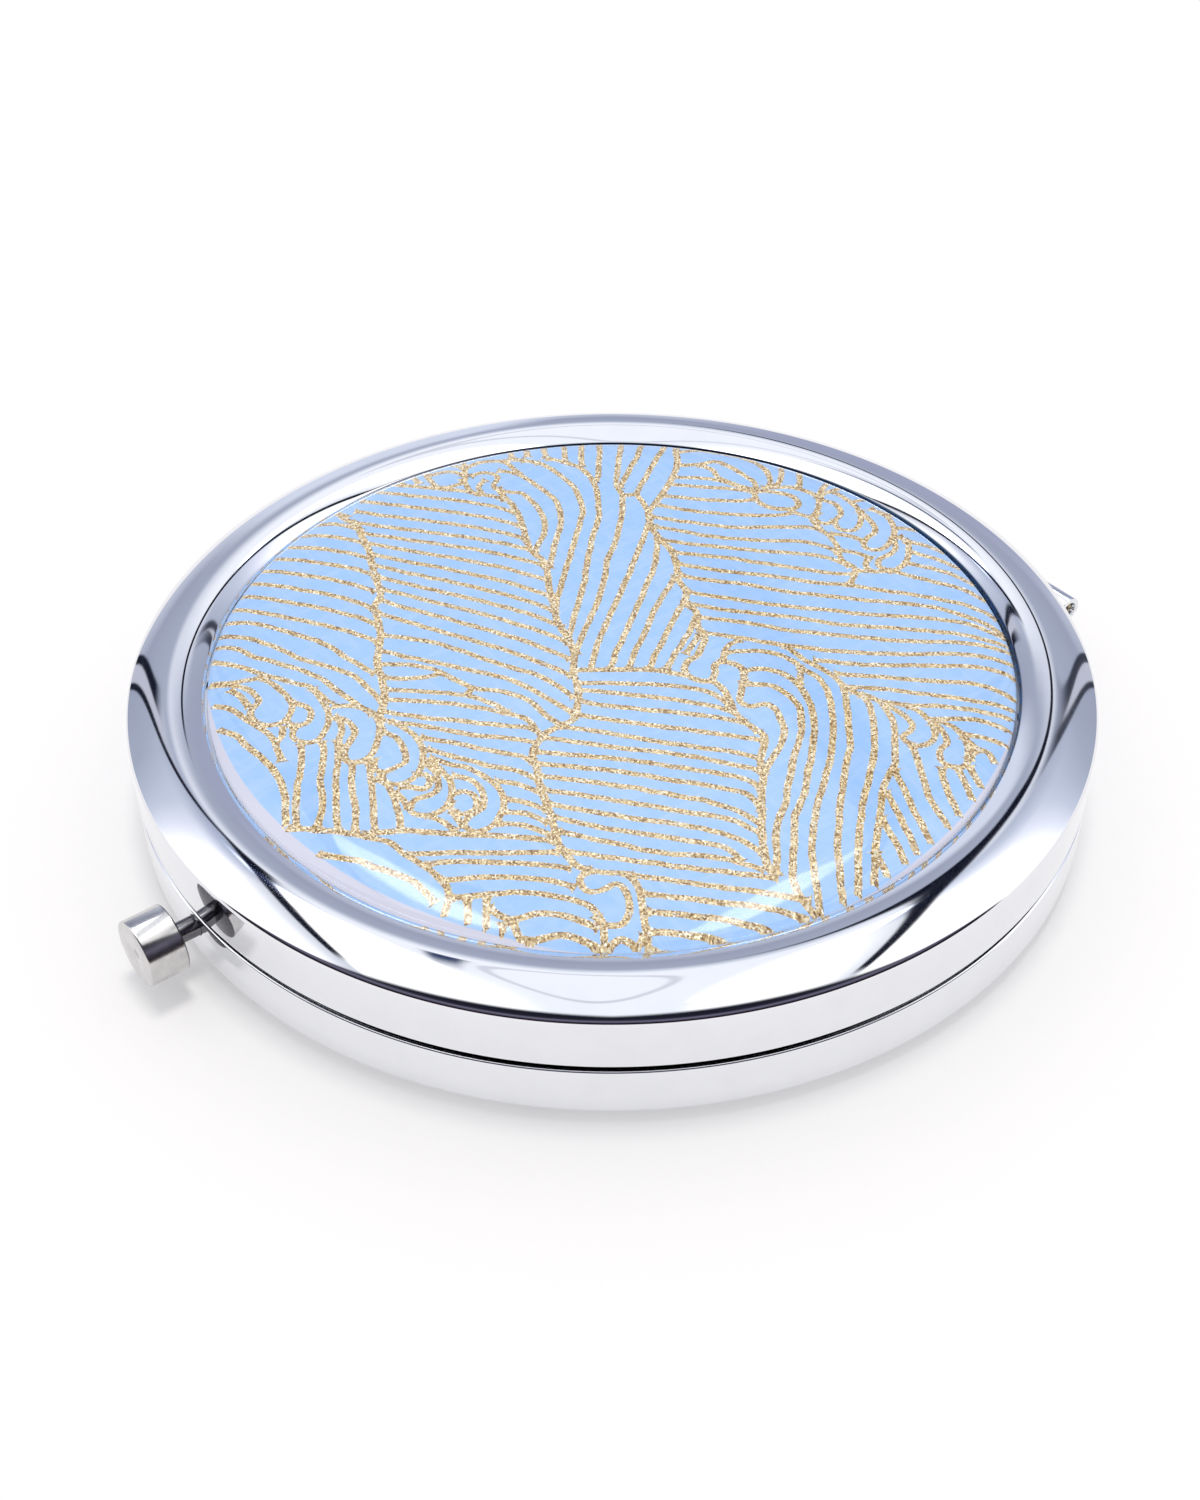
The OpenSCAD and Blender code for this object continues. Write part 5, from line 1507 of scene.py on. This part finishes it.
inkLine((20.8, -5.7), (23.1, -5.7), (25.7, -6.2), (28.0, -6.9), (29.2, -8.0))
inkLine((22.2, -7.2), (24.6, -7.1), (26.4, -7.5), (29.0, -9.0))
inkLine((24.4, -8.8), (25.9, -9.1), (28.4, -10.2))
inkLine((26.9, -9.4), (27.2, -11.4))

# the crowd of curls at the far right
inkLine((5.5, 25.7), (7.3, 25.7), (8.6, 26.1), (9.6, 25.5), (10.7, 24.4), (11.6, 23.1), (11.9, 21.8))
inkLine((5.4, 27.5), (7.1, 27.9), (9.2, 27.6), (11.1, 26.6), (12.4, 25.3), (13.0, 23.8), (12.9, 22.4))
inkLine((7.3, 25.7), (8.4, 24.9), (8.8, 23.8), (10.1, 22.7), (11.5, 21.9))
inkLine((11.6, 21.8), (13.3, 21.6), (14.6, 21.0), (15.1, 20.1), (14.8, 19.3), (13.7, 19.1), (12.4, 19.6),
        (11.7, 20.4), (11.6, 21.8), width=1.1)
inkLine((12.2, 22.2), (14.6, 22.3), (15.9, 21.6), (16.7, 20.6), (16.5, 18.9), (15.9, 18.0), (14.7, 18.6),
        (14.3, 19.1))
inkLine((16.6, 20.6), (18.0, 19.9), (18.4, 18.4), (17.8, 17.4), (18.0, 16.3), (19.1, 16.1), (19.8, 17.1),
        (19.8, 18.9), (18.9, 20.6), (17.7, 21.6), (16.8, 20.9))
inkLine((16.6, 18.7), (16.2, 17.6), (17.0, 17.0), (17.8, 17.4))
inkLine((19.8, 18.9), (20.6, 17.3), (20.8, 15.9), (19.9, 14.8), (19.8, 13.7), (20.8, 13.4), (21.9, 14.6),
        (22.3, 16.3), (21.9, 18.0), (20.6, 19.2))
inkLine((22.2, 15.2), (22.1, 13.3), (20.8, 12.2), (20.7, 11.1), (21.9, 10.8), (22.9, 12.2), (23.2, 14.1),
        (22.5, 15.4))
inkLine((15.9, 18.1), (16.3, 16.7), (17.1, 15.4), (17.6, 14.1), (17.8, 12.2), (18.8, 10.8), (18.2, 8.9))
inkLine((17.2, 15.6), (18.6, 15.4), (19.8, 14.6))
inkLine((17.8, 13.4), (19.3, 12.9), (20.3, 12.2))
inkLine((18.8, 10.7), (20.0, 10.5), (21.5, 10.6))
inkLine((19.9, 12.4), (19.6, 11.2), (19.9, 10.5))
for spike in ([(13.9, 25.6), (13.9, 23.6), (13.3, 22.4)], [(15.4, 25.0), (15.3, 22.9), (15.1, 22.2)],
              [(18.0, 24.0), (16.9, 21.4), (16.7, 20.6)], [(19.4, 23.0), (17.8, 21.6)],
              [(21.0, 20.9), (19.2, 20.1)], [(23.4, 19.6), (22.4, 18.4), (21.6, 18.6), (20.6, 19.2)],
              [(22.2, 16.4), (24.2, 16.2), (26.0, 15.0)], [(23.0, 14.7), (25.7, 13.4), (27.4, 11.8)],
              [(23.2, 13.2), (25.3, 12.1), (28.0, 10.2)], [(22.8, 11.7), (25.7, 10.4), (28.6, 8.2)],
              [(21.5, 10.6), (24.6, 9.2), (26.8, 8.1), (29.2, 5.9)]):
    inkLine(*spike)
print("lines drawn:", len(strokes))

clearSelection()
drawing = bpy.data.curves.new("goldLines", "CURVE")
drawing.dimensions = "3D"
drawing.bevel_depth = mm
drawing.bevel_resolution = 1
drawing.use_fill_caps = True
paperTop = high("printed_paper").z
for path, half, meets in strokes:
    run = lengths(path)
    spline = drawing.splines.new("POLY")
    fine = list(zip(run, path))
    fillet = waves["fillet"]
    for share in (0.15, 0.35, 0.6, 0.85, 1.0):  # more points where a line widens into another
        for wanted in (fillet * share, run[-1] - fillet * share):
            if 0 < wanted < run[-1]:
                fine.append((wanted, atShare(path, wanted / run[-1])))
    fine.sort(key=lambda entry: entry[0])
    spline.points.add(len(fine) - 1)
    for spot, (along, point) in zip(spline.points, fine):
        width = half
        for meet, gap in ((meets[0], along), (meets[1], run[-1] - along)):
            if meet and gap < fillet:
                width = max(width, half + (fillet - math.sqrt(fillet ** 2 - (fillet - gap) ** 2)) * 0.55)
        width *= 1 + waves["ripple"] * noise.noise(Vector((point.x * 1.7, point.y * 1.7, half * 40)))
        placed = turnPrint @ point
        spot.co = (placed.x * mm, placed.y * mm, 0, 1)
        spot.radius = width
goldLines = bpy.data.objects.new("goldLines", drawing)
bpy.context.collection.objects.link(goldLines)
pick(goldLines)
bpy.ops.object.convert(target="MESH")
goldLines = bpy.context.object
goldLines.scale = (1, 1, waves["ink"] / waves["line"])
goldLines.location = (0, 0, paperTop * mm)
bpy.ops.object.transform_apply(location=True, rotation=True, scale=True)
finishPiece(goldLines, goldInk, "lid", [], 50)
print("gold triangles:", sum(len(face.vertices) - 2 for face in goldLines.data.polygons))

# last things

print("scene built")
